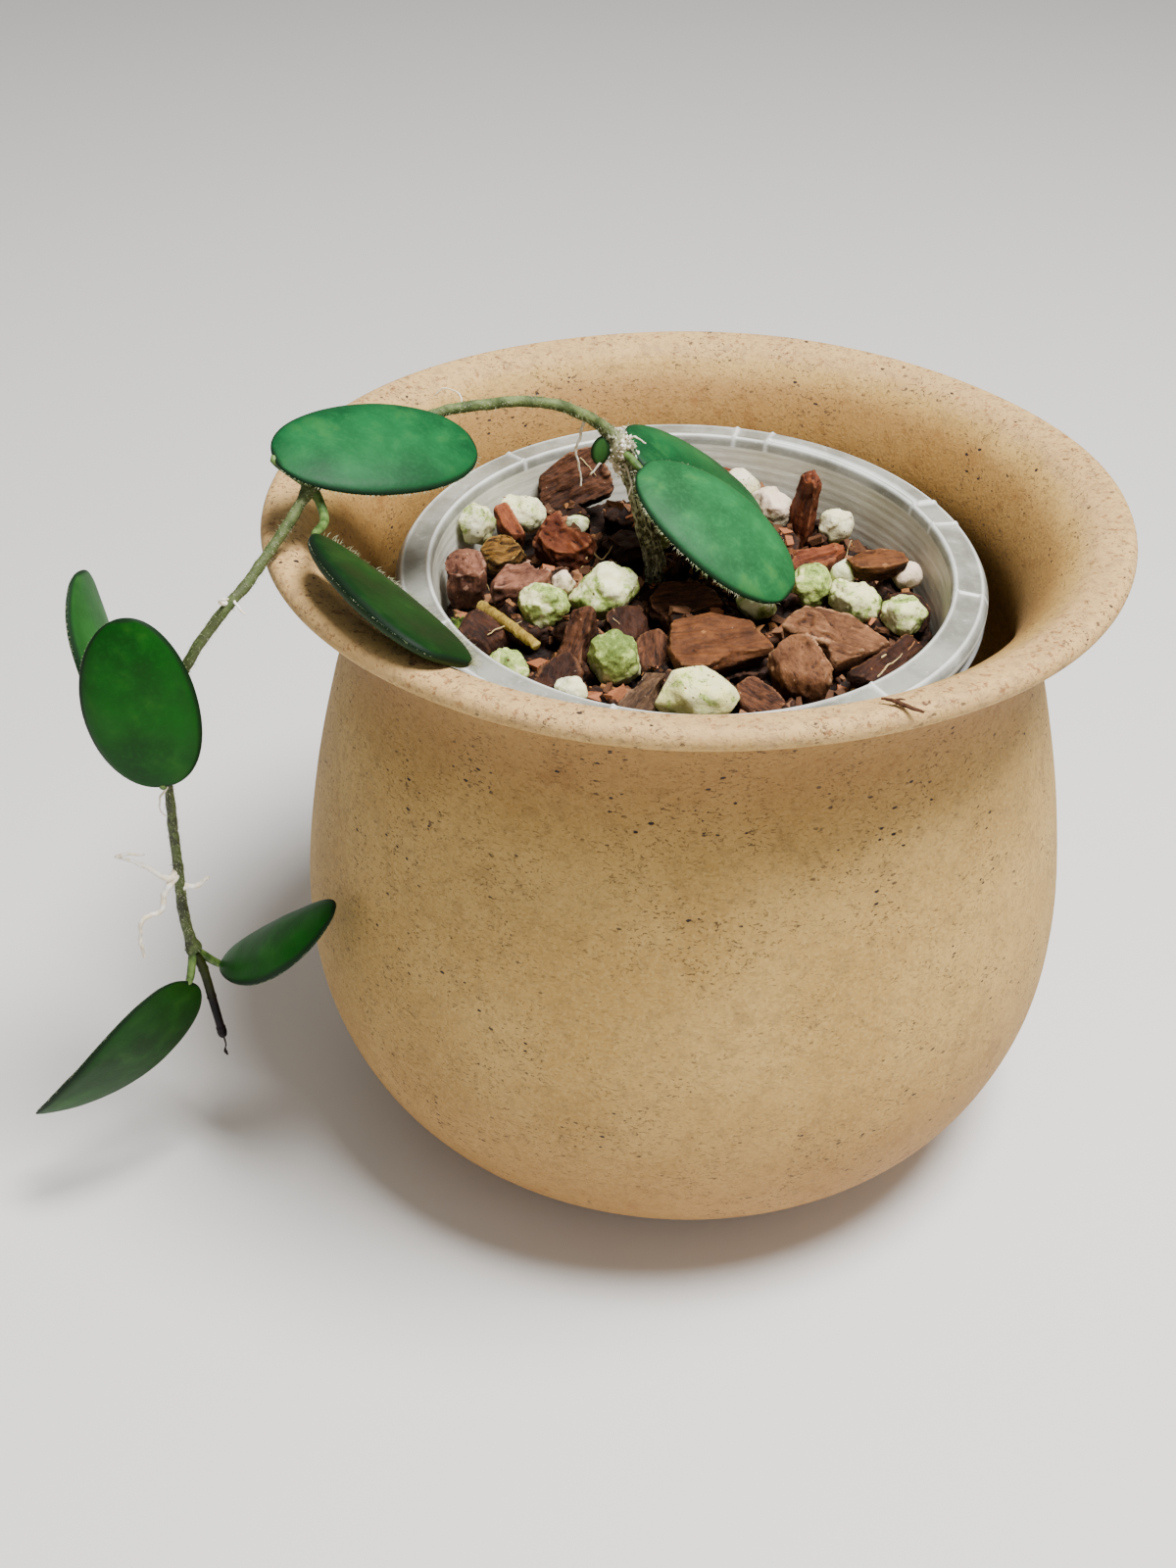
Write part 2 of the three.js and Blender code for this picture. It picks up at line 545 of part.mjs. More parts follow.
const upright = leaning.matrix.clone().invert();
const clearRoom = room(FREE_LEVEL, WALL_GAP);
let taken = toSolid(toGeometry(fatStem).applyMatrix4(upright));
let takenFromBed = toSolid(toGeometry(stem(BED_GAP)).applyMatrix4(upright));

function settle(name, piece, material) {
  const solid = lump(piece).intersect(clearRoom).subtract(taken);
  leaning.add(named(name, toGeometry(mainBody(solid)), material));
  taken = taken.add(lump(piece, GAP));
  takenFromBed = takenFromBed.add(lump(piece, BED_GAP));
}

STONES.forEach((stone, i) => {
  settle(`stone_${String(i + 1).padStart(2, "0")}`, { seed: i + 11, ...stone }, PUMICE);
});
CHIPS.forEach((chip, i) => {
  settle(`bark_${String(i + 1).padStart(2, "0")}`, { seed: i + 51, block: true, ...chip }, BARK);
});

// A short twig lies among the chips
const TWIG_ROUTE = [[-42, -9, 113.6], [-36, -16, 114.4], [-29.5, -23, 114.2]];
const TWIG_RADII = [1.4, 1.3, 1.1];
const twig = (extra) => toSolid(limb(TWIG_ROUTE, TWIG_RADII.map((radius) => radius + extra), 7, 5));
leaning.add(named("twig", toGeometry(mainBody(twig(0).subtract(taken))), BARK));
takenFromBed = takenFromBed.add(twig(BED_GAP));

// Fine mix: a core with small crumbs of bark spiralled over its top, lower at the vine's foot, and cut clear of
// all that lies in it
const CRUMBS = 48;
const CRUMB_REACH = 47.5;
const CRUMB_RISE = 1.8;
const SPIRAL_TURN = Math.PI * (3 - Math.sqrt(5));
const DIP = { x: -8, y: 14, depth: 3.5, spread: 160 };
const BED_TOLERANCE = 0.22;

function barkBed() {
  const random = randomFrom(5);
  const crumbs = [room(MIX_LEVEL, CORE_GAP)];
  for (let i = 0; i < CRUMBS; i += 1) {
    const reach = CRUMB_REACH * Math.sqrt((i + 0.5) / CRUMBS);
    const x = reach * Math.cos(i * SPIRAL_TURN);
    const y = reach * Math.sin(i * SPIRAL_TURN);
    const dip = DIP.depth * Math.exp(-((x - DIP.x) ** 2 + (y - DIP.y) ** 2) / DIP.spread);
    crumbs.push(lump({
      seed: 200 + i,
      block: true,
      crumb: true,
      taper: random() * 0.4 - 0.2,
      at: [x, y, MIX_LEVEL + CRUMB_RISE - 0.05 * x - dip + random() * 1.6],
      size: [9 + 4 * random(), 7 + 3 * random(), 4.5 + 3 * random()],
      turn: [random() * 50 - 25, random() * 50 - 25, random() * 360],
    }));
  }
  const whole = wasm.Manifold.union(crumbs).intersect(clearRoom);
  return mainBody(whole.subtract(takenFromBed), BED_TOLERANCE);
}
leaning.add(named("bark_bed", toGeometry(barkBed()), FINE_MIX));

// A dry sliver of bark on the front of the lip
const SLIVER = { length: 8, thin: 0.45, thick: 0.7, turn: -28, x: 35.2, y: -75.4, rise: 0.95 };
const sliver = new THREE.CylinderGeometry(SLIVER.thin, SLIVER.thick, SLIVER.length, 6, 1);
sliver.rotateZ(Math.PI / 2);
sliver.rotateZ(degrees(SLIVER.turn));
sliver.translate(SLIVER.x, SLIVER.y, POT_HEIGHT + SLIVER.rise);
object.add(named("sliver", welded(sliver), BARK));

object.add(named("stem", toGeometry(mainBody(stem(0))), VINE));

// The growing tip, with a bead at its end
const TIP_ROUTE = [[-100.3, -43, 58], [-99.1, -43, 54.4], [-97.8, -43.2, 45], [-96.5, -43.5, 34.5]];
const TIP_RADII = [0.95, 0.8, 0.75, 0.8, 0.7];
const TIP_END = [-96.5, -43.5, 33.9];
const shoot = (extra) => toSolid(limb(TIP_ROUTE, TIP_RADII.map((radius) => radius + extra), 8, 8));
const tip = shoot(0).add(toSolid(knob(TIP_END, 1, 1.3))).subtract(fatStem);
object.add(named("shoot_tip", toGeometry(mainBody(tip)), YOUNG_SHOOT));

const clearOfLeaves = fatStem.add(shoot(GAP));
LEAVES.forEach((leaf) => {
  object.add(named(leaf.name, toGeometry(leafSolid(leaf, clearOfLeaves)), LEAF));
});

// A small new leaf at the first node
const BUD = { width: 1.9, thickness: 0.9, length: 3.1, lean: 8, at: [-19.6, 11.8, 149.2] };
const bud = new THREE.SphereGeometry(1, 8, 6);
bud.scale(BUD.width, BUD.thickness, BUD.length);
bud.rotateY(degrees(BUD.lean));
bud.translate(...BUD.at);
object.add(named("bud_leaf", toGeometry(mainBody(toSolid(bud).subtract(fatStem))), LEAF));

export default object;
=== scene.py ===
import math
import random

import bpy
import numpy as np
from mathutils import Matrix, Vector, noise
from mathutils.bvhtree import BVHTree


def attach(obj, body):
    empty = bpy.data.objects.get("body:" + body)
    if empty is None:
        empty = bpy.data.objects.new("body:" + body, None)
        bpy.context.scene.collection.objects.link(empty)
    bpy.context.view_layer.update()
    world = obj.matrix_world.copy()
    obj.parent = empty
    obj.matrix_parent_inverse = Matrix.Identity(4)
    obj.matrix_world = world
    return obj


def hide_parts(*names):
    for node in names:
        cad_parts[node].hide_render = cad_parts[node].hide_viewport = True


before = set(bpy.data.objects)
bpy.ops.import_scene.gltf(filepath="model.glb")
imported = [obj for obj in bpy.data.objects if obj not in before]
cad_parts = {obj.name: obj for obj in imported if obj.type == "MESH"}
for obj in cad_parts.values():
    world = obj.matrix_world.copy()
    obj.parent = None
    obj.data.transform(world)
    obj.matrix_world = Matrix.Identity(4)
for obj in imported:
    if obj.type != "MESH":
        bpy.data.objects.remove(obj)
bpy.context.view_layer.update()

# Camera
# It looks down on the pot from the front, from where the photograph was taken.
MM = 0.001
EYE = Vector((0, -334.1, 313.5)) * MM
PITCH = math.radians(35.494)
YAW = math.radians(-3.572)
ROLL = math.radians(0.458)
LENS = 42.867

ahead = Vector((math.sin(YAW) * math.cos(PITCH), math.cos(YAW) * math.cos(PITCH), -math.sin(PITCH)))
level = Vector((math.cos(YAW), -math.sin(YAW), 0))
above = level.cross(ahead)
right = math.cos(ROLL) * level + math.sin(ROLL) * above
top = math.cos(ROLL) * above - math.sin(ROLL) * level
camera_data = bpy.data.cameras.new("photo_view")
camera_data.lens = LENS
camera_data.sensor_width = 36
camera_data.clip_start = 0.01
camera = bpy.data.objects.new("photo_view", camera_data)
camera.matrix_world = Matrix.Translation(EYE) @ Matrix((right, top, -ahead)).transposed().to_4x4()
bpy.context.scene.collection.objects.link(camera)
bpy.context.scene.camera = camera

# Cachepot
# One thrown pot of tan stoneware: a round belly, a narrower neck and a wide lip with a soft round edge.
# It is unglazed and matt, freckled with iron, and the lip is a little paler where it has been handled.
POT_HEIGHT = 146.4
POT_LIP_RADIUS = 85.2
POT_BELLY_RADIUS = 82.6
POT_NECK_RADIUS = 69.6
POT_BASE_RADIUS = 44
POT_WALL = 4.4
POT_FLOOR = 6.7
POT_SIDES = 240
LIP_ROUND = 2.27


class Shade:
    """One socket of a material's nodes. Sums and products of shades add Math nodes."""

    def __init__(self, tree, socket=None):
        self.tree = tree
        self.socket = socket

    def node(self, kind, settings=None, sockets=None, output=0):
        """Adds a node of a type: its settings first, then the values or links of its sockets."""
        made = self.tree.nodes.new("ShaderNode" + kind)
        for name, value in (settings or {}).items():
            if name == "stops":
                ramp = made.color_ramp
                while len(ramp.elements) < len(value):
                    ramp.elements.new(0.5)
                for element, (place, colour) in zip(ramp.elements, value):
                    element.position = place
                    element.color = colour
            else:
                setattr(made, name, value)
        for name, value in (sockets or {}).items():
            if isinstance(value, Shade):
                self.tree.links.new(value.socket, made.inputs[name])
            else:
                made.inputs[name].default_value = value
        return Shade(self.tree, made.outputs[output]) if made.outputs else None

    def maths(self, operation, *values):
        return self.node("Math", {"operation": operation}, dict(enumerate(values)))

    def __add__(self, other):
        return self.maths("ADD", self, other)

    def __sub__(self, other):
        return self.maths("SUBTRACT", self, other)

    def __rsub__(self, other):
        return self.maths("SUBTRACT", other, self)

    def __mul__(self, other):
        return self.maths("MULTIPLY", self, other)

    __radd__ = __add__
    __rmul__ = __mul__

    def vector(self, operation, other):
        return self.node("VectorMath", {"operation": operation}, {0: self, 1: other})

    def part(self, index):
        """One number of a vector."""
        return self.node("SeparateXYZ", {}, {0: self}, output=index)

    def rising(self, low, high):
        """0 below low, 1 above high and smooth between."""
        sockets = {"Value": self, "From Min": low, "From Max": high}
        return self.node("MapRange", {"interpolation_type": "SMOOTHSTEP"}, sockets)

    def blend(self, first, second, how="MIX"):
        """The first colour where this shade is 0 and the second where it is 1."""
        settings = {"data_type": "RGBA", "blend_type": how}
        return self.node("Mix", settings, {0: self, 6: first, 7: second}, output=2)


def start_material(name):
    material = bpy.data.materials.new(name)
    material.use_nodes = True
    material.node_tree.nodes.clear()
    return material, Shade(material.node_tree)


def paint(red, green, blue):
    """A colour given as a screen shows it, 0 to 255, in the renderer's linear scale."""
    return tuple((part / 255) ** 2.2 for part in (red, green, blue)) + (1.0,)


def speckle(nodes, where, grain, fine=3, rough=0.5, warp=0.0):
    """Noise whose blotches are about one grain across, in millimetres."""
    sockets = {"Vector": where, "Scale": 1 / grain, "Detail": fine, "Roughness": rough, "Distortion": warp}
    return nodes.node("TexNoise", {}, sockets)


def place_noise(nodes, where, grain, reach):
    """A vector that wanders by up to its reach, to bend what it is added to."""
    sockets = {"Vector": where, "Scale": 1 / grain, "Detail": 2}
    return nodes.node("TexNoise", {}, sockets, output=1).vector("MULTIPLY", (reach, reach, reach))


def spots(nodes, where, pitch, radius, share):
    """Round spots, up to this radius, in a share of the cells of a grid with this pitch, in millimetres."""
    sockets = {"Vector": where, "Scale": 1 / pitch, "Randomness": 1.0}
    cell = nodes.node("TexVoronoi", {}, sockets)
    draw = nodes.node("TexVoronoi", {}, sockets, output=1)
    draw = nodes.node("SeparateColor", {}, {0: draw})
    size = draw.rising(1 - share, 1.0) * (radius / pitch)
    return (size - cell).rising(0.0, 0.3 * radius / pitch)


def millimetres(nodes, stretch=(1, 1, 1)):
    """The place on the piece in millimetres, stretched if asked."""
    scale = tuple(part / MM for part in stretch)
    return nodes.node("TexCoord", {}, {}, output=3).vector("MULTIPLY", scale)


def surfaced(nodes, colour, rough, height=None, depth=0.0, **extra):
    """The finished surface: its colour, roughness and fine relief, whose full depth is in millimetres."""
    sockets = {"Base Color": colour, "Roughness": rough}
    sockets.update({name.replace("_", " "): value for name, value in extra.items()})
    if height is not None:
        relief = {"Height": height, "Distance": depth * MM, "Strength": 1.0}
        sockets["Normal"] = nodes.node("Bump", {}, relief)
    shader = nodes.node("BsdfPrincipled", {}, sockets)
    nodes.node("OutputMaterial", {}, {"Surface": shader})


def smooth_line(points, count):
    """Evenly spaced points on a smooth curve through the given ones."""
    given = np.array(points, float)
    given = np.vstack([2 * given[0] - given[1], given, 2 * given[-1] - given[-2]])
    gap = np.sqrt(np.linalg.norm(np.diff(given, axis=0), axis=1))
    share = np.linspace(0, 1, 24, endpoint=False)[:, None]
    fine = []
    for i in range(1, len(given) - 2):
        a, b, c, d = given[i - 1:i + 3]
        before, here, after = gap[i - 1:i + 2]
        leave = ((b - a) / before - (c - a) / (before + here) + (c - b) / here) * here
        arrive = ((c - b) / here - (d - b) / (here + after) + (d - c) / after) * here
        square = 3 * (c - b) - 2 * leave - arrive
        cube = 2 * (b - c) + leave + arrive
        fine.append(b + leave * share + square * share**2 + cube * share**3)
    fine = np.vstack(fine + [given[-2:-1]])
    length = np.concatenate([[0], np.cumsum(np.linalg.norm(np.diff(fine, axis=0), axis=1))])
    even = np.linspace(0, length[-1], count)
    return np.stack([np.interp(even, length, fine[:, k]) for k in range(fine.shape[1])], axis=1)


def ring_faces(rings, count):
    """The faces between rings of points, closed at each end by one more point, listed after them."""
    last = (rings - 1) * count
    faces = []
    for j in range(count):
        k = (j + 1) % count
        faces.append((last + count, k, j))
        faces.append((last + count + 1, last + j, last + k))
        for i in range(0, last, count):
            faces.append((i + j, i + k, i + count + k, i + count + j))
    return faces


def turned(profile, turns):
    """Points and faces of a profile of (radius, height) turned about Z. Both its ends lie on the axis."""
    profile = np.array(profile, float)[1:-1]
    points = np.zeros((len(profile), len(turns), 3))
    points[:, :, 0] = profile[:, :1] * np.cos(turns)
    points[:, :, 1] = profile[:, :1] * np.sin(turns)
    points[:, :, 2] = profile[:, 1:]
    ends = [[0, 0, profile[0, 1]], [0, 0, profile[-1, 1]]]
    return np.vstack([points.reshape(-1, 3), ends]), ring_faces(len(profile), len(turns))


def solid(name, points, faces, *materials):
    """A smooth-shaded piece from points in millimetres."""
    mesh = bpy.data.meshes.new(name)
    mesh.from_pydata((np.asarray(points) * MM).tolist(), [], faces)
    for material in materials:
        mesh.materials.append(material)
    mesh.polygons.foreach_set("use_smooth", [True] * len(mesh.polygons))
    mesh.update()
    piece = bpy.data.objects.new(name, mesh)
    bpy.context.scene.collection.objects.link(piece)
    return piece


def pot_profile():
    """The cachepot's section, from the middle of its underside to the middle of its floor inside."""
    outside = smooth_line([
        (POT_BASE_RADIUS + 12.5, 2.6),
        (POT_BELLY_RADIUS - 9, 19),
        (POT_BELLY_RADIUS - 1.5, 37),
        (POT_BELLY_RADIUS, 56),
        (POT_BELLY_RADIUS - 3.2, 82),
        (POT_NECK_RADIUS + 4.6, 105),
        (POT_NECK_RADIUS + 0.4, 120),
        (POT_NECK_RADIUS + 0.4, 128),
        (POT_NECK_RADIUS + 4, 136),
        (POT_LIP_RADIUS - 4.2, POT_HEIGHT - 4.2),
    ], 90)
    tangent = np.gradient(outside, axis=0)
    tangent /= np.linalg.norm(tangent, axis=1)[:, None]
    thickness = POT_WALL + 3.4 * np.exp(-((outside[:, 1] / 20) ** 2))
    inside = outside + np.stack([-tangent[:, 1], tangent[:, 0]], axis=1) * thickness[:, None]
    inside = inside[inside[:, 0] > 50][::-1]
    turn = np.radians(np.linspace(-45, 100, 12))
    lip = np.stack([
        POT_LIP_RADIUS - LIP_ROUND + LIP_ROUND * np.cos(turn),
        POT_HEIGHT - LIP_ROUND + LIP_ROUND * np.sin(turn),
    ], axis=1)
    foot = smooth_line([(POT_BASE_RADIUS - 1, 0), (POT_BASE_RADIUS + 3, 0.3), outside[0]], 8)[:-1]
    floor = smooth_line([inside[-1], (42, POT_FLOOR + 0.3), (30, POT_FLOOR)], 8)[1:]
    return np.vstack([[[0, 0]], foot, outside, lip, inside, floor, [[0, POT_FLOOR]]])


def stoneware():
    """Matt tan clay, clouded and freckled, with painted shade under the lip and painted warm shade low on
    the belly.
    """
    material, nodes = start_material("stoneware")
    place = millimetres(nodes)
    clouds = speckle(nodes, place, 26, fine=4, rough=0.6)
    grain = speckle(nodes, place, 0.7, fine=2)
    clay = clouds.rising(0.35, 0.68).blend(paint(180, 142, 76), paint(198, 160, 92))
    clay = (grain.rising(0.4, 0.75) * 0.35).blend(clay, paint(216, 182, 118))
    mottle = speckle(nodes, place, 2.6, fine=5, rough=0.7).rising(0.48, 0.66)
    clay = (mottle * 0.42).blend(clay, paint(150, 122, 74))
    smudge = speckle(nodes, place, 9, fine=5, rough=0.7).rising(0.54, 0.72)
    clay = (smudge * 0.3).blend(clay, paint(136, 104, 60))
    height = place.part(2)
    handled = (height + speckle(nodes, place, 6) * 3).rising(143.5, 147)
    clay = (handled * 0.4).blend(clay, paint(226, 184, 134))
    clay = (handled * mottle * 0.4).blend(clay, paint(160, 126, 92))
    # Painted shade under the lip, on the neck and the top of the belly.
    shade = (height.rising(106, 128) - height.rising(138, 144)) * (0.75 + smudge * 0.3)
    clay = (shade * 0.8).blend(clay, paint(132, 88, 42))
    # Painted warm shade low on the belly, where it faces down.
    low = (74 - height).rising(0, 64) * (0.6 + smudge * 0.3)
    clay = low.blend(clay, paint(142, 90, 38))
    rust = speckle(nodes, place, 1.8, fine=4, rough=0.7).rising(0.56, 0.64)
    clay = (handled * rust * 0.7).blend(clay, paint(136, 88, 50))
    drawn = millimetres(nodes, (0.7, 0.7, 1.3))
    clusters = speckle(nodes, place, 14, fine=4, rough=0.65).rising(0.4, 0.62)
    freckle = speckle(nodes, drawn, 0.7, fine=3, rough=0.7, warp=0.8).rising(0.585, 0.635)
    clay = (freckle * clusters * 0.85).blend(clay, paint(74, 56, 44))
    bent = drawn.vector("ADD", place_noise(nodes, place, 0.8, 0.5))
    fleck = spots(nodes, bent, 1.7, 0.42, 0.6) * (0.25 + clusters)
    pin = spots(nodes, bent, 1.0, 0.24, 0.6)
    clay = (pin * 0.5).blend(clay, paint(104, 76, 48))
    clay = (fleck * 0.9).blend(clay, paint(50, 38, 36))
    relief = grain * 0.6 + mottle * 0.3 - fleck * 0.5 - freckle * 0.4
    surfaced(nodes, clay, 0.74 - grain * 0.1, relief, 0.2, Specular_IOR_Level=0.35)
    return material


pot_turns = np.linspace(0, 2 * math.pi, POT_SIDES, endpoint=False)
pot_points, pot_faces = turned(pot_profile(), pot_turns)
# Thrown by hand, it is a little out of round and its lip isn't quite level.
around = np.arctan2(pot_points[:, 1], pot_points[:, 0])
up_share = np.clip(pot_points[:, 2] / POT_HEIGHT, 0, 1)
wander = 0.3 * np.sin(2 * around + 0.7) + 0.2 * np.sin(3 * around + 2.1) + 0.1 * np.sin(7 * around)
pot_points[:, :2] *= (1 + wander * up_share**2 / 160)[:, None]
pot_points[:, 2] += 0.25 * up_share**6 * np.sin(5 * around + 1) * (pot_points[:, 2] > 130)
cachepot = solid("cachepot_thrown", pot_points, pot_faces, stoneware())
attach(cachepot, "root")
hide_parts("cachepot")

# Nursery pot
# A clear moulded cup, slightly grey, with a flat rim and a turned-down edge. Moulding marks cross the rim,
# and one stretch of it at the back stands a little higher. It leans on the cachepot's curved inner corner.
INNER_HEIGHT = 121.5
INNER_RIM_RADIUS = 60
INNER_MOUTH_RADIUS = 52.7
INNER_BASE_RADIUS = 42
INNER_WALL = 1.2
INNER_FLOOR = 1.5
INNER_SIDES = 220
INNER_PLACE = (-1.5, 8.3, 9.3)
INNER_LEAN = (0.053, 0.0096)
EDGE_DEPTH = 6.6
# The bearings of the moulding marks and of the raised stretch's two ends, in degrees
RIM_MARKS = (81, 73, 29, 20, -8, -50, -104, -150, 135)
RAISED_RIM = (29, 73)
MARK_HEIGHT = 0.42
RAISED_HEIGHT = 0.6
DRAINS = 8
DRAIN_RADIUS = 1.9
DRAIN_CIRCLE = 30

lean = np.array(Matrix.Rotation(INNER_LEAN[0], 3, "X") @ Matrix.Rotation(INNER_LEAN[1], 3, "Y"))


def in_pot(points):
    """Points of the nursery pot's own upright frame, moved to where it stands and leans."""
    return np.asarray(points, float) @ lean.T + INNER_PLACE


def inner_radius(height):
    """How far the cup's tapered wall stands from its axis, inside."""
    share = height / INNER_HEIGHT
    return (INNER_BASE_RADIUS - INNER_WALL) * (1 - share) + INNER_MOUTH_RADIUS * share


def eased(profile, radius, steps=3):
    """A polyline with its corners rounded."""
    profile = [np.array(corner, float) for corner in profile]
    eased_line = [profile[0]]
    for before, corner, after in zip(profile, profile[1:], profile[2:]):
        back = before - corner
        on = after - corner
        start = corner + back * min(radius / np.linalg.norm(back), 0.45)
        end = corner + on * min(radius / np.linalg.norm(on), 0.45)
        for t in np.linspace(0, 1, steps + 1):
            eased_line.append(start * (1 - t) ** 2 + corner * 2 * t * (1 - t) + end * t**2)
    return np.array(eased_line + [profile[-1]])


def keep_vectors(piece, name, values):
    """Stores a vector for each point, which the material reads."""
    layer = piece.data.attributes.new(name, "FLOAT_VECTOR", "POINT")
    layer.data.foreach_set("vector", np.asarray(values, float).ravel())


def nursery_profile():
    """The cup's section, up its outside, over the turned-down edge and the rim, and down its inside."""
    crown = INNER_HEIGHT
    edge = INNER_RIM_RADIUS
    outside = eased([
        (0, 0),
        (INNER_BASE_RADIUS, 0),
        (inner_radius(crown - 3) + INNER_WALL, crown - 3),
        (INNER_MOUTH_RADIUS + 2, crown - 1.6),
        (edge - 2.2, crown - 2.3),
        (edge - INNER_WALL, crown - 3.2),
        (edge - INNER_WALL, crown - EDGE_DEPTH),
        (edge, crown - EDGE_DEPTH),
        (edge, crown - 3.4),
        (edge, crown - 2.9),
        (edge, crown - 2.2),
        (edge - 0.9, crown - 0.75),
    ], 0.7)
    inside = []
    for across in np.linspace(edge - 1.3, INNER_MOUTH_RADIUS + 0.5, 26):
        fall = 0.7 * (across - INNER_MOUTH_RADIUS) / (edge - INNER_MOUTH_RADIUS)
        bead = 0.32 * math.exp(-(((across - INNER_MOUTH_RADIUS - 0.8) / 0.3) ** 2))
        bead += 0.26 * math.exp(-(((across - edge + 1.5) / 0.3) ** 2))
        inside.append((across, crown - fall + bead))
    inside += [(INNER_MOUTH_RADIUS + 0.15, crown - 0.15), (INNER_MOUTH_RADIUS, crown - 0.6)]
    for height in np.arange(crown - 1.4, 84, -0.4):
        ring = 0.022 * math.sin(height * 3.1) + 0.018 * math.sin(height * 1.3 + 1)
        inside.append((inner_radius(height) + ring, height))
    inside += [(inner_radius(60), 60), (inner_radius(INNER_FLOOR + 1), INNER_FLOOR + 1)]
    inside += [(inner_radius(INNER_FLOOR) - 1, INNER_FLOOR), (0, INNER_FLOOR)]
    return np.vstack([outside, inside])


def stored(nodes, name):
    """The vector that the piece keeps under this name."""
    return nodes.node("Attribute", {"attribute_name": name}, {}, output=1)


def clear_plastic():
    """Greyish clear plastic: milky where it is thick or scuffed, with painted highlights along its edges and
    marks, and painted shade on its flat rim and its turned-down edge.
    """
    material, nodes = start_material("clear_plastic")
    place = millimetres(nodes)
    edge = stored(nodes, "edge")
    line = edge.part(0)
    rim = edge.part(1)
    skirt_painted_shade = edge.part(2)
    haze = speckle(nodes, place, 12, fine=4, rough=0.6)
    scuff = speckle(nodes, millimetres(nodes, (1, 1, 3)), 2.4, fine=5, rough=0.75)
    rings = speckle(nodes, millimetres(nodes, (0.05, 0.05, 1)), 0.9, fine=3)
    dust = speckle(nodes, place, 0.6, fine=3, rough=0.7)
    colour = haze.rising(0.3, 0.7).blend(paint(218, 214, 194), paint(244, 242, 226))
    # Painted shade on the flat rim: darker, for the dark that lies under it.
    rim_painted_shade = haze.rising(0.35, 0.65).blend(paint(96, 98, 90), paint(150, 152, 142))
    colour = (rim * 0.8).blend(colour, rim_painted_shade)
    colour = (rings.rising(0.5, 0.72) * (1 - rim) * 0.5).blend(colour, paint(206, 202, 184))
    colour = (scuff.rising(0.55, 0.78) * 0.6).blend(colour, paint(214, 214, 204))
    colour = (dust.rising(0.62, 0.72) * 0.5).blend(colour, paint(226, 222, 206))
    # Painted shade on the turned-down edge: dark and more see-through.
    colour = (skirt_painted_shade * 0.9).blend(colour, paint(44, 40, 34))
    # Painted highlights along the rim's edges and beads, on its moulding marks and along the turned-down
    # edge's hem.
    colour = (line * (0.35 + haze * 0.9)).blend(colour, paint(244, 246, 242))
    alpha = 0.82 - skirt_painted_shade * 0.56 + haze * 0.12 + scuff.rising(0.5, 0.8) * 0.12 + line * 0.5 - rim * 0.1
    rough = 0.24 + scuff * 0.2
    surfaced(nodes, colour, rough, scuff * 0.5 + haze + rings * 0.6, 0.12, Alpha=alpha, IOR=1.49)
    return material


def rim_places(points):
    """For points of the pot's own frame: how far from its axis each is, how far inside the raised stretch,
    lengthwise in degrees and crosswise in millimetres, and how many degrees from each mark."""
    reach = np.hypot(points[:, 0], points[:, 1])
    bearing = np.degrees(np.arctan2(points[:, 1], points[:, 0]))
    ends = np.minimum(bearing - RAISED_RIM[0], RAISED_RIM[1] - bearing)
    sides = np.minimum(reach - INNER_MOUTH_RADIUS - 2.0, INNER_RIM_RADIUS - 1.9 - reach)
    off = np.array([(bearing - mark + 180) % 360 - 180 for mark in RIM_MARKS])
    return reach, ends, sides, off


def rim_painted_light(points):
    """For points of the pot's own frame, where light and shade are painted: how near the rim's edges and
    marks, for painted highlights, whether on the rim, for painted shade, and whether on the turned-down
    edge, for dark painted shade."""
    reach, ends, sides, off = rim_places(points)
    on_flange = (points[:, 2] > INNER_HEIGHT - 2.2) & (reach > INNER_MOUTH_RADIUS - 0.2)
    highlight_lines = np.maximum.reduce([
        np.exp(-((ends / 0.6) ** 2)) * (sides > -0.3),
        np.exp(-((sides / 0.3) ** 2)) * (ends > -0.5),
        0.8 * np.exp(-(((reach - INNER_MOUTH_RADIUS - 0.6) / 0.34) ** 2)),
        0.8 * np.exp(-(((reach - INNER_RIM_RADIUS + 1.3) / 0.34) ** 2)),
        0.8 * np.exp(-((np.abs(off).min(axis=0) / 0.55) ** 2)),
    ])
    skirt_painted_shade = (points[:, 2] < INNER_HEIGHT - 3) & (reach > INNER_RIM_RADIUS - 2)
    hem_highlight = skirt_painted_shade * np.exp(-(((points[:, 2] - INNER_HEIGHT + EDGE_DEPTH) / 0.35) ** 2))
    return np.stack([np.maximum(highlight_lines * on_flange, hem_highlight), on_flange, skirt_painted_shade], axis=1) * 1.0


def joined(parts):
    """Several (points, faces) as one."""
    points = np.vstack([part[0] for part in parts])
    faces = []
    first = 0
    for part_points, part_faces in parts:
        faces += [tuple(corner + first for corner in face) for face in part_faces]
        first += len(part_points)
    return points, faces


def modified_mesh(piece):
    """The mesh that the piece's modifiers make of it."""
    bpy.context.view_layer.update()
    return bpy.data.meshes.new_from_object(piece.evaluated_get(bpy.context.evaluated_depsgraph_get()))


def carved(piece, cutter):
    """Cuts one piece out of the other for good."""
    cut = piece.modifiers.new("cut", "BOOLEAN")
    cut.operation = "DIFFERENCE"
    cut.solver = "EXACT"
    cut.object = cutter
    shape = modified_mesh(piece)
    piece.modifiers.clear()
    piece.data = shape
    bpy.data.objects.remove(cutter)


def mesh_points(mesh):
    """A mesh's points in millimetres."""
    places = np.zeros(len(mesh.vertices) * 3)
    mesh.vertices.foreach_get("co", places)
    return places.reshape(-1, 3) / MM


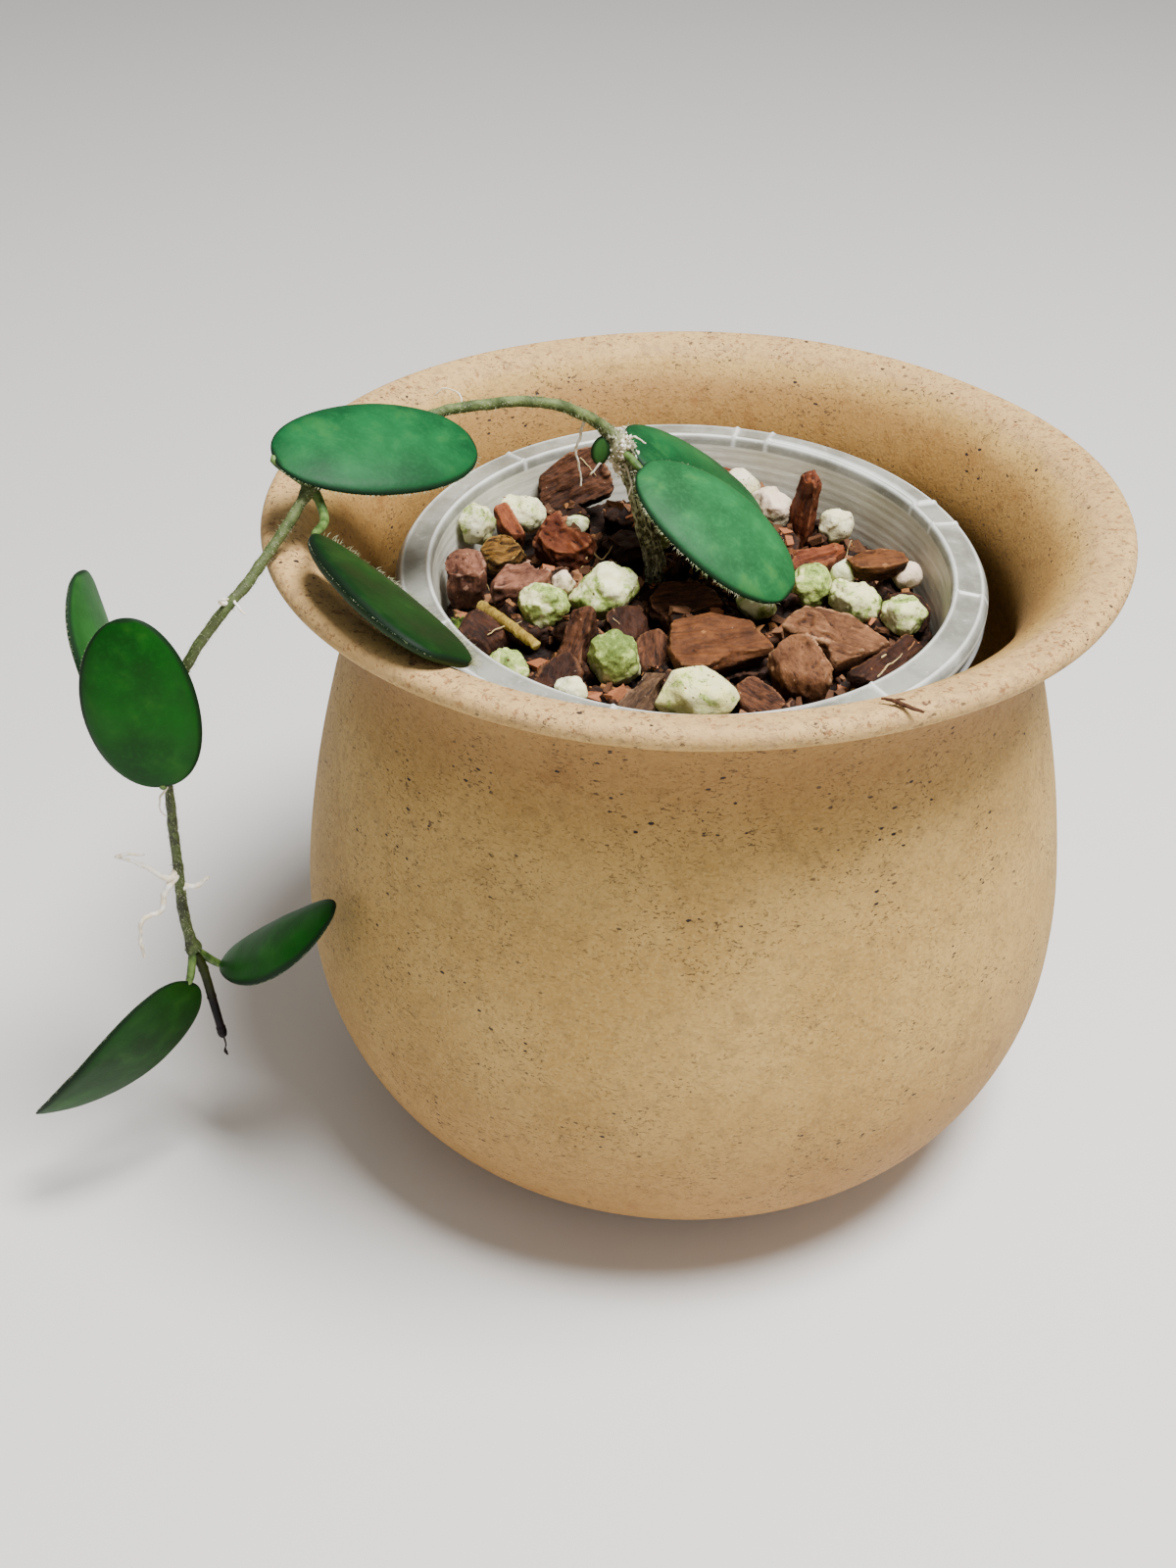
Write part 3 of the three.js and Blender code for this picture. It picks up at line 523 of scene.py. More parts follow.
# The cup is turned with more points across each moulding mark.
MARK_STEPS = (-0.9, -0.6, -0.3, 0, 0.3, 0.6, 0.9)
even_turns = np.linspace(0, 2 * math.pi, INNER_SIDES, endpoint=False)
mark_turns = np.radians([mark + step for mark in RIM_MARKS for step in MARK_STEPS])
nursery_turns = np.unique(np.round(np.mod(np.concatenate([even_turns, mark_turns]), 2 * math.pi), 4))
nursery_points, nursery_faces = turned(nursery_profile(), nursery_turns)
reach, ends, sides, off = rim_places(nursery_points)
on_rim = (nursery_points[:, 2] > INNER_HEIGHT - 1.3) & (reach > INNER_MOUTH_RADIUS + 0.4)
on_rim &= reach < INNER_RIM_RADIUS - 0.8
bumps = MARK_HEIGHT * np.exp(-((off / 0.45) ** 2)).sum(axis=0)
raised = RAISED_HEIGHT * np.clip(ends / 0.5, 0, 1) * np.clip(sides / 0.3, 0, 1)
nursery_points[:, 2] += on_rim * (bumps + raised)
nursery = solid("nursery_pot_clear", in_pot(nursery_points), nursery_faces, clear_plastic())

rod_profile = [(0, -2), (DRAIN_RADIUS, -2), (DRAIN_RADIUS, 4), (0, 4)]
rod_points, rod_faces = turned(rod_profile, np.linspace(0, 2 * math.pi, 16, endpoint=False))
drains = []
for i in range(DRAINS):
    turn = 2 * math.pi * i / DRAINS
    shift = [DRAIN_CIRCLE * math.cos(turn), DRAIN_CIRCLE * math.sin(turn), 0]
    drains.append((rod_points + shift, rod_faces))
drain_points, drain_faces = joined(drains)
carved(nursery, solid("drain_cutter", in_pot(drain_points), drain_faces))
keep_vectors(nursery, "edge", rim_painted_light((mesh_points(nursery.data) - INNER_PLACE) @ lean))
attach(nursery, "root")
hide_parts("nursery_pot")

# Bark chips
# Broken pieces of pine bark, up to 24 mm long, rough on their faces and in layers along their broken edges.
# Each keeps the place and the form that it has in the frame.
CHIP_MESH = 0.36
CHIP_LOOKS = (
    "brown", "red", "red", "straw", "rose", "rose", "brown", "dark", "dark", "brown", "orange", "tan",
    "tan", "grey", "brown", "red", "red", "orange", "dark", "dark", "red", "dark", "brown", "dark",
)
# Each look's light, dark and worn-edge colours, and how much of it is fibres rather than clouds
BARK_LOOKS = {
    "red": ((146, 80, 48), (74, 34, 22), (184, 118, 80), 0.3),
    "brown": ((112, 70, 46), (44, 26, 18), (158, 112, 80), 0.7),
    "dark": ((78, 46, 30), (28, 16, 12), (124, 84, 58), 0.45),
    "rose": ((156, 104, 80), (66, 36, 26), (206, 156, 128), 0.3),
    "orange": ((124, 76, 42), (62, 36, 20), (166, 114, 70), 0.35),
    "straw": ((158, 112, 50), (36, 20, 10), (212, 172, 98), 0.85),
    "grey": ((112, 84, 60), (48, 32, 22), (156, 126, 98), 0.55),
    "tan": ((146, 98, 64), (78, 48, 30), (204, 158, 116), 0.35),
}
# How many heights the split layers take before they repeat
LEDGES = 97


def fine_form(node, voxel, rounds):
    """A node's solid as an even fine mesh: points, outward normals and faces, smoothed a few rounds."""
    rough_piece = bpy.data.objects.new("rough_form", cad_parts[node].data.copy())
    bpy.context.scene.collection.objects.link(rough_piece)
    remesh = rough_piece.modifiers.new("even", "REMESH")
    remesh.mode = "VOXEL"
    remesh.voxel_size = voxel * MM
    mesh = modified_mesh(rough_piece)
    bpy.data.objects.remove(rough_piece)
    points = mesh_points(mesh)
    faces = [tuple(face.vertices) for face in mesh.polygons]
    edges = np.zeros(len(mesh.edges) * 2, int)
    mesh.edges.foreach_get("vertices", edges)
    edges = edges.reshape(-1, 2)
    for _ in range(rounds):
        total = np.zeros_like(points)
        count = np.zeros(len(points))
        for here, there in (edges.T, edges.T[::-1]):
            np.add.at(total, here, points[there])
            np.add.at(count, here, 1)
        points = 0.5 * points + 0.5 * total / count[:, None]
    mesh.vertices.foreach_set("co", (points * MM).ravel())
    mesh.update()
    normals = np.zeros(len(points) * 3)
    mesh.vertex_normals.foreach_get("vector", normals)
    return points, normals.reshape(-1, 3), faces


def own_axes(points):
    """A piece's own directions as columns: along its longest, middle and shortest extent."""
    middle = points.mean(axis=0)
    _, axes = np.linalg.eigh(np.cov((points - middle).T))
    return middle, axes[:, ::-1]


def field(points, grain, seed=0.0, octaves=3):
    """Smooth noise, about -1 to 1, whose lumps are about one grain across."""
    moved = np.asarray(points) / grain + np.array([seed * 7.3, seed * 3.1, -seed * 5.7])
    return np.array([noise.fractal(Vector(point), 1.0, 2.0, octaves) for point in moved])


def chipped(own, seed, cuts, deep):
    """Cuts random flat facets off a piece, up to this share of its reach deep."""
    draw = random.Random(seed)
    for _ in range(cuts):
        aim = np.array([draw.gauss(0, 1) for _ in range(3)])
        aim /= np.linalg.norm(aim)
        reach = own @ aim
        limit = reach.max() * (1 - deep * draw.uniform(0.35, 1))
        own = own - np.outer(np.maximum(reach - limit, 0) * 0.92, aim)
    return own


def bark_material(name, light, dark, edge, streak):
    """Bark with fibres along each chip, pale worn edges, painted shade in its crevices and painted shade on
    its sides and lower half.
    """
    material, nodes = start_material(name)
    light, dark, edge = paint(*light), paint(*dark), paint(*edge)
    grain = stored(nodes, "grain")
    along = grain.vector("MULTIPLY", (0.16, 0.9, 1.3))
    fibre = speckle(nodes, along, 0.8, fine=5, rough=0.65, warp=0.5)
    clouds = speckle(nodes, grain, 5.5, fine=5, rough=0.65)
    dirt = speckle(nodes, grain, 1.6, fine=5, rough=0.7)
    shade = fibre.rising(0.34, 0.68) * streak + clouds.rising(0.33, 0.7) * (1 - streak)
    colour = shade.blend(dark, light)
    colour = (dirt.rising(0.5, 0.72) * 0.6).blend(colour, dark)
    curvature_for_wear_and_shade = nodes.node("NewGeometry", {}, {}, output=7)
    colour = (curvature_for_wear_and_shade.rising(0.515, 0.6) * 0.65).blend(colour, edge)
    # Painted shade in crevices, where the surface curves inward.
    colour = ((0.495 - curvature_for_wear_and_shade).rising(0, 0.05) * 0.8).blend(colour, paint(24, 13, 9))
    # Painted shade on steep sides, under overhangs and low on each piece, patchy with dirt.
    side = stored(nodes, "lie").part(0)
    colour = (side * (0.5 + dirt * 0.6)).blend(colour, paint(26, 14, 9))
    crack = (fibre.rising(0.3, 0.38) - 1) * (-0.3 - streak)
    colour = crack.blend(colour, paint(26, 14, 10))
    dust = spots(nodes, grain, 1.3, 0.16, 0.25)
    colour = (dust * 0.45).blend(colour, paint(206, 176, 146))
    relief = fibre * (0.25 + streak) + dirt * 0.6
    surfaced(nodes, colour, 0.8 - clouds * 0.3, relief, 0.5, Specular_IOR_Level=0.2)
    return material


BARKS = {look: bark_material("bark_" + look, *colours) for look, colours in BARK_LOOKS.items()}


def ledges(levels, seed):
    """A height for each whole level, held level across it and stepping sharply to the next."""
    draw = random.Random(seed)
    heights = np.array([draw.uniform(-1, 1) for _ in range(LEDGES)])
    whole = np.floor(levels).astype(int)
    step = np.clip((levels - whole - 0.72) / 0.28, 0, 1)
    here = heights[whole % LEDGES]
    return here + (heights[(whole + 1) % LEDGES] - here) * step


def bark_relief(own, facing, seed, wild):
    """How far the surface stands out: split layers on the edges, flaked faces, fibres and lumps."""
    fibres = field(own * [0.22, 1, 1], 1.5, seed, 3)
    lumps = field(own, 6.0, seed + 3, 3)
    pits = np.minimum(field(own, 2.4, seed + 5, 3), 0)
    layers = own[:, 2] / 1.2 + 0.8 * field(own * [0.4, 1, 1], 3.5, seed + 7, 2)
    flakes = 2.6 * field(own * [0.5, 0.9, 1], 6.0, seed + 9, 3) + own[:, 0] * 0.08
    edge = 1 - np.abs(facing[:, 2])
    relief = (0.3 + 0.3 * edge) * lumps + (0.2 + 0.5 * edge) * pits + 0.28 * fibres
    relief += 0.8 * edge * ledges(layers, seed) + 0.45 * (1 - edge) * ledges(flakes, seed + 50)
    return wild * relief


def painted_side_shade(points, normals):
    """How much painted shade each point gets: 0 on a top face, 1 under an overhang, and more in its lower
    half.
    """
    steep = np.clip((0.62 - normals[:, 2]) / 0.95, 0, 1)
    up_share = (points[:, 2] - points[:, 2].min()) / np.ptp(points[:, 2])
    return np.maximum(steep, 1.3 * (0.62 - up_share))[:, None].clip(0, 1) * [1, 0, 0]


lying = []
for number, look in enumerate(CHIP_LOOKS, start=1):
    node = f"bark_{number:02d}"
    points, normals, faces = fine_form(node, CHIP_MESH, 1)
    middle, axes = own_axes(points)
    own = (points - middle) @ axes
    facing = normals @ axes
    size = np.ptp(own, axis=0)
    wild = min(1.0, 0.35 + size[2] / 10)
    own = own + facing * bark_relief(own, facing, number, wild)[:, None]
    points = middle + chipped(own, number, cuts=14, deep=0.13) @ axes.T
    chip = solid(node + "_chip", points, faces, BARKS[look])
    keep_vectors(chip, "grain", own + number * 9.0)
    keep_vectors(chip, "lie", painted_side_shade(points, normals))
    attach(chip, "root")
    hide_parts(node)
    lying.append(chip)

# Pumice stones
# Rough pale pumice, rounded by wear and full of small pores. The stones lie on the mix or pressed into it,
# and algae has turned most of them partly green.
STONE_MESH = 0.4
# For each stone: how green it is, how yellow and how pink
STONE_TONES = (
    (0.5, 0.2, 0.1), (0.2, 0.4, 0.0), (0.5, 0.1, 0.0), (0.55, 0.3, 0.0), (0.75, 0.5, 0.0),
    (0.0, 0.2, 0.9), (0.8, 0.6, 0.0), (0.7, 0.6, 0.0), (0.1, 0.2, 0.0), (0.3, 1.0, 0.0),
    (0.7, 0.2, 0.0), (0.0, 0.1, 0.5), (0.0, 0.1, 0.8), (0.1, 0.2, 0.2), (0.75, 0.9, 0.0),
    (0.5, 0.7, 0.0), (0.5, 0.6, 0.0), (0.0, 0.2, 0.9), (0.5, 0.5, 0.0), (0.2, 0.1, 0.0),
)
# How much greener each of these stones is on its top than below. The others are greener below.
GREEN_TOPS = {7: 1.0, 8: 0.4, 15: 0.3}
# The stones that are less rugged than the others
SMOOTH_STONES = (10, 20, 12, 18)


def pumice():
    """Pale and porous, tinted by each stone's own tone, with algae in patches and a few fine cracks, and
    painted shade on its sides and lower half, in its pores and in its hollows.
    """
    material, nodes = start_material("pumice")
    place = millimetres(nodes)
    tone = stored(nodes, "tone")
    green = tone.part(0)
    yellow = tone.part(1)
    pink = tone.part(2)
    clouds = speckle(nodes, place, 3.2, fine=5, rough=0.6)
    patches = speckle(nodes, place, 4.4, fine=5, rough=0.68, warp=0.6)
    grit = speckle(nodes, place, 0.55, fine=3)
    colour = clouds.rising(0.35, 0.65).blend(paint(240, 232, 176), paint(255, 255, 226))
    colour = (yellow * clouds.rising(0.3, 0.6)).blend(colour, paint(250, 236, 158))
    colour = (pink * 0.8).blend(colour, paint(240, 200, 184))
    growth = patches + green * 0.27
    algae = grit.rising(0.35, 0.65).blend(paint(92, 132, 14), paint(172, 198, 66))
    colour = (growth.rising(0.62, 0.7) * 0.85).blend(colour, algae)
    colour = (growth.rising(0.46, 0.66) * 0.3).blend(colour, paint(196, 216, 120))
    colour = ((growth + grit * 0.2).rising(0.82, 0.92) * 0.7).blend(colour, paint(62, 90, 8))
    # Painted shade on steep sides, under overhangs and low on each stone, olive and mixed with algae where
    # the patches are.
    side = stored(nodes, "lie").part(0)
    colour = (side * (0.15 + patches * 0.8)).blend(colour, paint(88, 92, 30))
    vein = speckle(nodes, place, 3.4, fine=3, rough=0.6, warp=0.4) - 0.5
    crack = (0.014 - nodes.maths("ABSOLUTE", vein)).rising(0, 0.012) * patches.rising(0.48, 0.6)
    colour = (crack * 0.75).blend(colour, paint(60, 62, 26))
    # Painted shade in the pores.
    pores = spots(nodes, place, 1.3, 0.3, 0.4)
    colour = (pores * 0.7).blend(colour, paint(100, 92, 62))
    # Painted shade in hollows, where the surface curves inward.
    curvature_for_shade = nodes.node("NewGeometry", {}, {}, output=7)
    colour = ((0.48 - curvature_for_shade).rising(0, 0.07) * 0.55).blend(colour, paint(112, 104, 66))
    surfaced(nodes, colour, 0.9 - clouds * 0.1, grit * 0.6 + clouds * 0.5 - pores, 0.26)
    return material


pumice_finish = pumice()
for number, tone in enumerate(STONE_TONES, start=1):
    node = f"stone_{number:02d}"
    points, normals, faces = fine_form(node, STONE_MESH, 3)
    middle = points.mean(axis=0)
    own = points - middle
    span = np.ptp(own, axis=0).max()
    lumps = field(own, 0.42 * span, number + 40, 3)
    knobs = field(own, 2.3, number + 60, 3)
    pits = np.minimum(field(own, 1.0, number + 80, 2), 0)
    ragged = 0.35 if number in SMOOTH_STONES else 1
    own = own + normals * (0.085 * span * ragged * lumps + 0.45)[:, None]
    own = chipped(own, number + 30, cuts=9, deep=0.2)
    own = own + normals * (ragged * (0.36 * knobs + 0.4 * pits))[:, None]
    points = middle + own
    stone = solid(node + "_pumice", points, faces, pumice_finish)
    up_share = (own[:, 2] - own[:, 2].min()) / np.ptp(own[:, 2])
    tones = np.tile(np.array(tone), (len(points), 1))
    tones[:, 0] += GREEN_TOPS.get(number, -0.35 * tone[0]) * (up_share - 0.55)
    keep_vectors(stone, "tone", tones)
    keep_vectors(stone, "lie", painted_side_shade(points, normals))
    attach(stone, "root")
    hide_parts(node)
    lying.append(stone)

# Fine mix
# Dark damp bark crumbs fill the nursery pot. Its lower part is plain, because the pot's wall hides it, and
# its top is a bed of rough crumbs with finer ones scattered over it.
MIX_FLOOR = 1.9
MIX_LEVEL = 107
MIX_GAP = 0.5
BED_MESH = 0.62


def mix_core():
    """The plain lower part, up to just under the mix's top."""
    crown = MIX_LEVEL - 3
    profile = eased([
        (0, MIX_FLOOR),
        (inner_radius(MIX_FLOOR) - MIX_GAP, MIX_FLOOR),
        (inner_radius(crown) - MIX_GAP, crown),
        (0, crown),
    ], 1.0)
    points, faces = turned(profile, np.linspace(0, 2 * math.pi, 96, endpoint=False))
    return in_pot(points), faces


def bed_top():
    """The upper part of the mix as in the frame, as an even fine mesh with rough crumbs."""
    points, normals, faces = fine_form("bark_bed", BED_MESH, 1)
    upright = (points - INNER_PLACE) @ lean
    high = upright[:, 2] > MIX_LEVEL - 4
    relief = 0.75 * field(points, 2.6, 3, 4) + 0.45 * field(points * [1, 1.6, 1], 1.3, 5, 2)
    points = points + normals * (relief * high)[:, None]
    faces = [face for face in faces if all(high[corner] for corner in face)]
    used = np.unique(np.concatenate([np.array(face) for face in faces]))
    renumber = {old: new for new, old in enumerate(used)}
    return points[used], [tuple(renumber[corner] for corner in face) for face in faces]


mix_points, mix_faces = joined([bed_top(), mix_core()])
fine_mix_finish = bark_material("fine_mix", (54, 33, 22), (15, 9, 7), (80, 52, 36), 0.35)
mix = solid("fine_mix_bed", mix_points, mix_faces, fine_mix_finish)
keep_vectors(mix, "grain", mix_points)
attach(mix, "root")
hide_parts("bark_bed")

# Loose crumbs and threads
# Broken bark crumbs lie scattered on the mix and on some chips, with a few thin dry roots and straws over
# them.
CRUMBS = 1150
CRUMB_SIZES = (0.25, 0.3, 0.4, 0.5, 0.7, 1.0, 1.4, 2.0)
# Which of the crumbs' four finishes is drawn, the darkest most often
CRUMB_FINISHES = (0, 0, 0, 0, 0, 1, 1, 2, 3)
BED_MIDDLE = (0.5, 3)
BED_RADIUS = 49
# The height in the nursery pot at which loose pieces lie, and one above everything that lies there
LYING_LEVEL = 112
PLUMB_START = 140
# Each thread's ends, how high it arches, how thick it is, and whether it is brown
THREADS = (
    ((-26, 8.3), (-16.6, 17.4), 1.6, 0.28, 0), ((-28.2, 40.9), (-21.6, 36.9), 0.9, 0.16, 0),
    ((-17.9, -9.3), (-13.6, -14.3), 0.6, 0.14, 0), ((-39.6, -19.8), (-33.2, -14.1), 0.8, 0.16, 0),
    ((-40, 31), (-31, 30), 0.6, 0.18, 0), ((-41, 26), (-33, 33), 0.5, 0.15, 1),
    ((-46, 2), (-40, 3), 0.5, 0.15, 0), ((-44, -14), (-41, -9), 0.9, 0.34, 0),
    ((17, 19), (30, 26), 1.2, 0.22, 0), ((33, 25), (36, 31), 1.8, 0.14, 0),
    ((30, 14), (33, 20), 0.6, 0.24, 1), ((35.7, -32.2), (45, -16.2), 0.5, 0.42, 1),
    ((31.7, -29.3), (38.9, -22.8), 0.7, 0.5, 0), ((41.2, -14.5), (45.6, -19.3), 0.6, 0.36, 1),
    ((43, -10.1), (44.4, -15.2), 1.0, 0.3, 1), ((39.5, -11), (42, -17), 0.8, 0.34, 1),
    ((36, -30), (42, -21), 0.4, 0.2, 0), ((-30.3, -19), (-25.9, -25.5), 0.5, 0.5, 1),
    ((-27, -20), (-23.5, -26), 0.8, 0.3, 0), ((2, -31), (10, -33), 0.4, 0.15, 0),
    ((-9, 2), (-1, 8), 0.5, 0.16, 1), ((5, 27), (12, 33), 0.5, 0.15, 0),
)
THREAD_RINGS = 26


def limb_faces(rings, sides):
    """The faces between rings of points, with a flat face at each end."""
    last = (rings - 1) * sides
    faces = [tuple(range(sides))[::-1], tuple(range(last, last + sides))]
    for i in range(0, last, sides):
        for j in range(sides):
            k = (j + 1) % sides
            faces.append((i + j, i + k, i + sides + k, i + sides + j))
    return faces


def tube(path, radii, sides):
    """Points and faces of a round limb along a path, closed at both ends."""
    path = np.asarray(path, float)
    radii = np.broadcast_to(radii, len(path))
    tangent = np.gradient(path, axis=0)
    tangent /= np.linalg.norm(tangent, axis=1)[:, None]
    side = np.cross(tangent[0], (0.3, 0.5, 0.8))
    points = []
    for here, forward, radius in zip(path, tangent, radii):
        side = side - forward * (side @ forward)
        side /= np.linalg.norm(side)
        other = np.cross(forward, side)
        for turn in np.linspace(0, 2 * math.pi, sides, endpoint=False):
            points.append(here + radius * (side * math.cos(turn) + other * math.sin(turn)))
    return np.array(points), limb_faces(len(path), sides)


def along_line(count, shares, values):
    """A value for each of this many points along a line, from those given at some shares of its length."""
    return np.interp(np.linspace(0, 1, count), shares, values)


def wavering(points, grain, seed):
    """For each point a smooth random shift, about 1 long, that changes over about one grain."""
    return np.stack([field(points, grain, seed + k) for k in range(3)], axis=1)


def surface_tree(pieces):
    """A search tree of several pieces' faces, in millimetres, and how many belong to the first."""
    parts = []
    for piece in pieces:
        parts.append((mesh_points(piece.data), [tuple(face.vertices) for face in piece.data.polygons]))
    points, faces = joined(parts)
    return BVHTree.FromPolygons(points.tolist(), faces), len(parts[0][1])


def crumb(draw, spot, facing, size):
    """A broken angular crumb that lies on a surface."""
    corners = np.array([(a, b, c) for a in (-1, 1) for b in (-1, 1) for c in (-1, 1)], float)
    corners = corners * (size, size * draw.uniform(0.3, 0.8), size * draw.uniform(0.2, 0.5))
    corners += np.array([[draw.uniform(-0.3, 0.3) * size for _ in range(3)] for _ in corners])
    turn = Vector(facing).to_track_quat("Z", "Y").to_matrix()
    turn = turn @ Matrix.Rotation(draw.uniform(0, 6.28), 3, "Z")
    turn = turn @ Matrix.Rotation(draw.gauss(0, 0.5), 3, "X")
    corners = corners @ np.array(turn).T + spot + np.array(facing) * size * 0.15
    return corners, [(0, 1, 3, 2), (4, 6, 7, 5), (0, 4, 5, 1), (2, 3, 7, 6), (0, 2, 6, 4), (1, 5, 7, 3)]


def landed(x, y):
    """Where a plumb line at x, y meets the mix or a piece on it: the place, the facing and the face."""
    place, facing, face, _ = tree.ray_cast(Vector((x, y, PLUMB_START)), Vector((0, 0, -1)))
    return place, facing, face


tree, bed_count = surface_tree([mix, *lying])
draw = random.Random(21)
crumbs = []
crumb_looks = []
while len(crumbs) < CRUMBS:
    x, y = draw.uniform(-54, 54), draw.uniform(-48, 60)
    if math.hypot(x - BED_MIDDLE[0], y - BED_MIDDLE[1]) > BED_RADIUS:
        continue
    spot, facing, face = landed(x, y)
    if spot is None or (face >= bed_count and draw.random() > 0.05):
        continue
    size = draw.choice(CRUMB_SIZES) if face < bed_count else 0.22
    crumbs.append(crumb(draw, np.array(spot), facing, size))
    crumb_looks += [draw.choice(CRUMB_FINISHES)] * 6
crumb_points, crumb_faces = joined(crumbs)
crumb_finish = bark_material("crumbs", (78, 48, 32), (22, 13, 10), (104, 70, 48), 0.3)
crumb_piece = solid("bark_crumbs", crumb_points, crumb_faces,
                    crumb_finish, BARKS["brown"], BARKS["red"], BARKS["orange"])
crumb_piece.data.polygons.foreach_set("material_index", crumb_looks)
crumb_piece.data.polygons.foreach_set("use_smooth", [False] * len(crumb_faces))
keep_vectors(crumb_piece, "grain", crumb_points)
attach(crumb_piece, "root")

thread_parts = []
thread_looks = []
for number, (first, last, rise, thick, brown) in enumerate(THREADS):
    line = []
    for share in np.linspace(0, 1, 5):
        x, y, _ = in_pot([*(np.array(first) * (1 - share) + np.array(last) * share), LYING_LEVEL])
        line.append((x, y, landed(x, y)[0].z))
    line = np.array(line)
    lift = along_line(5, [0, 1], [line[0, 2], line[-1, 2]])
    line[:, 2] = 0.35 * line[:, 2] + 0.65 * lift + rise * np.sin(np.linspace(0.15, 2.9, 5)) + 0.2
    line = smooth_line(line, THREAD_RINGS)
    line += 0.4 * wavering(line, 3, number + 1)
    thread_parts.append(tube(line, thick * along_line(THREAD_RINGS, [0, 0.5, 1], [0.8, 1, 0.35]), 6))
    thread_looks += [brown] * len(thread_parts[-1][1])
thread_points, thread_faces = joined(thread_parts)
straw_finish = bark_material("dry_straw", (206, 172, 112), (132, 98, 52), (222, 196, 140), 0.5)
threads = solid("dry_threads", thread_points, thread_faces, straw_finish, BARKS["orange"])
threads.data.polygons.foreach_set("material_index", thread_looks)
keep_vectors(threads, "grain", thread_points)
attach(threads, "root")

# Vine
# One hairy olive green stem. It rises from the mix, swells at each pair of leaves, arches over the lip and
# hangs down outside it. Roots grow from its foot into the mix, and thin cream ones from it into the air.
NODE_1 = (-15.9, 14, 149.2)
NODE_2 = (-71.2, -24, 156.8)
NODE_3 = (-100, -46, 106.7)
NODE_4 = (-100.4, -43, 58.9)
STEM_ROUTE = [
    (-8.2, 16.6, 101), (-8.2, 16.4, 110), (-8, 15.8, 122), (-9.9, 15, 130.2), (-12.1, 14.5, 139.4),
    NODE_1, (-19.9, 12, 155), (-24.1, 10, 158.1), (-27.8, 8, 160.5), (-35.5, 6.5, 161.7),
    (-41.2, 6, 161.1), (-48.8, 4.5, 160.4), (-52.5, 3, 159.6), (-59.3, -3, 158.8), (-63, -9, 158.4),
    (-66.8, -15, 157.7), NODE_2, (-74.8, -29.5, 152), (-78.6, -34.6, 147.4), (-81.7, -39, 143.8),
    (-84, -42, 141.9), (-88, -45, 137.3),
    (-92.4, -46.5, 130.6), (-95.9, -46, 121.5), (-98.9, -46, 112.4), NODE_3, (-99.6, -45.5, 101.5),
    (-100.3, -44.5, 90.2), (-100.6, -44, 82.4), (-101.1, -43.5, 69.3), NODE_4,
]
STEM_RADII = [1.6, 1.7, 1.7, 1.65, 1.7, 1.9, 1.25, 1.1, 1.05, 0.95, 1.2]
STEM_RADII_AT = [0, 0.04, 0.09, 0.12, 0.15, 0.2, 0.235, 0.3, 0.55, 0.85, 1.0]
STEM_RINGS = 420
STEM_SIDES = 20
# Each node's place, how much thicker the stem is there, and over what length
SWELLINGS = ((NODE_1, 0.9, 2.6), (NODE_2, 0.75, 1.8), (NODE_3, 0.55, 1.6), (NODE_4, 0.6, 1.7))
BURIED_ROOTS = [
    [(-8.2, 16.6, 106), (-16, 19, 98), (-25, 20, 86), (-29, 21, 70)],
    [(-8.2, 16.6, 106), (-2, 22, 97), (6, 30, 88), (9, 34, 72)],
    [(-8.2, 16.6, 106), (-4, 9, 96), (2, 0, 84), (6, -6, 64)],
    [(-8.2, 16.6, 104), (-13, 11, 92), (-17, 5, 78), (-18, 2, 58)],
]
BURIED_RINGS = 40
# Each root's route, and its radius where it starts
AIR_ROOTS = [
    ([(-100.5, -44, 81), (-102.3, -46, 79.6), (-105.9, -47, 83.2), (-110.8, -50, 88.2)], 0.74),
    ([(-110.6, -50, 88.0), (-108.3, -50, 88.9), (-105.8, -50, 88.3), (-104.2, -50, 88.9)], 0.42),
    ([(-100.5, -44, 80), (-103, -47, 77), (-104, -48, 72.8), (-107.7, -50, 71.6),
      (-108.7, -49.5, 61.6)], 0.74),
    ([(-100.6, -43.8, 76), (-98, -42.6, 75.6), (-95.5, -42, 77.4)], 0.8),
    ([(-84.4, -42.4, 142.2), (-85.2, -44.6, 143.4), (-83.2, -45.4, 144.6)], 0.4),
    ([(-83.6, -41.6, 142.6), (-82.2, -44, 142), (-80.6, -44.6, 140.8)], 0.34),
    ([(-99.4, -46.6, 103), (-100.8, -47.8, 100.8), (-100.6, -47.6, 96.6)], 0.28),
    ([(-22.6, 11, 156.6), (-23.6, 11.5, 152.6), (-24.6, 12, 149.5), (-23.9, 12, 145),
      (-23.6, 12, 141.5)], 0.36),
    ([(-46.5, 5.2, 160.6), (-47.6, 7.4, 162.8), (-50.4, 8.4, 163.6), (-52.2, 8, 161.6)], 0.2),
    ([(-15.2, 13, 150), (-12.4, 11.6, 152.4), (-10.6, 11.4, 151.2)], 0.3),
    ([(-17, 13, 147.4), (-19.8, 11.4, 146.2), (-21.4, 11.6, 144)], 0.34),
    ([(-14.8, 12.6, 146.6), (-13.2, 10.4, 143.6), (-13.8, 10, 140.2)], 0.3),
]


def clouded_material(name, dark, light, grain, rough, fine=3, depth=0.0):
    """Two colours in soft clouds, with a fine relief where a depth is given, in millimetres."""
    material, nodes = start_material(name)
    clouds = speckle(nodes, millimetres(nodes), grain, fine)
    colour = clouds.rising(0.35, 0.65).blend(paint(*dark), paint(*light))
    surfaced(nodes, colour, rough, clouds if depth else None, depth)
    return material


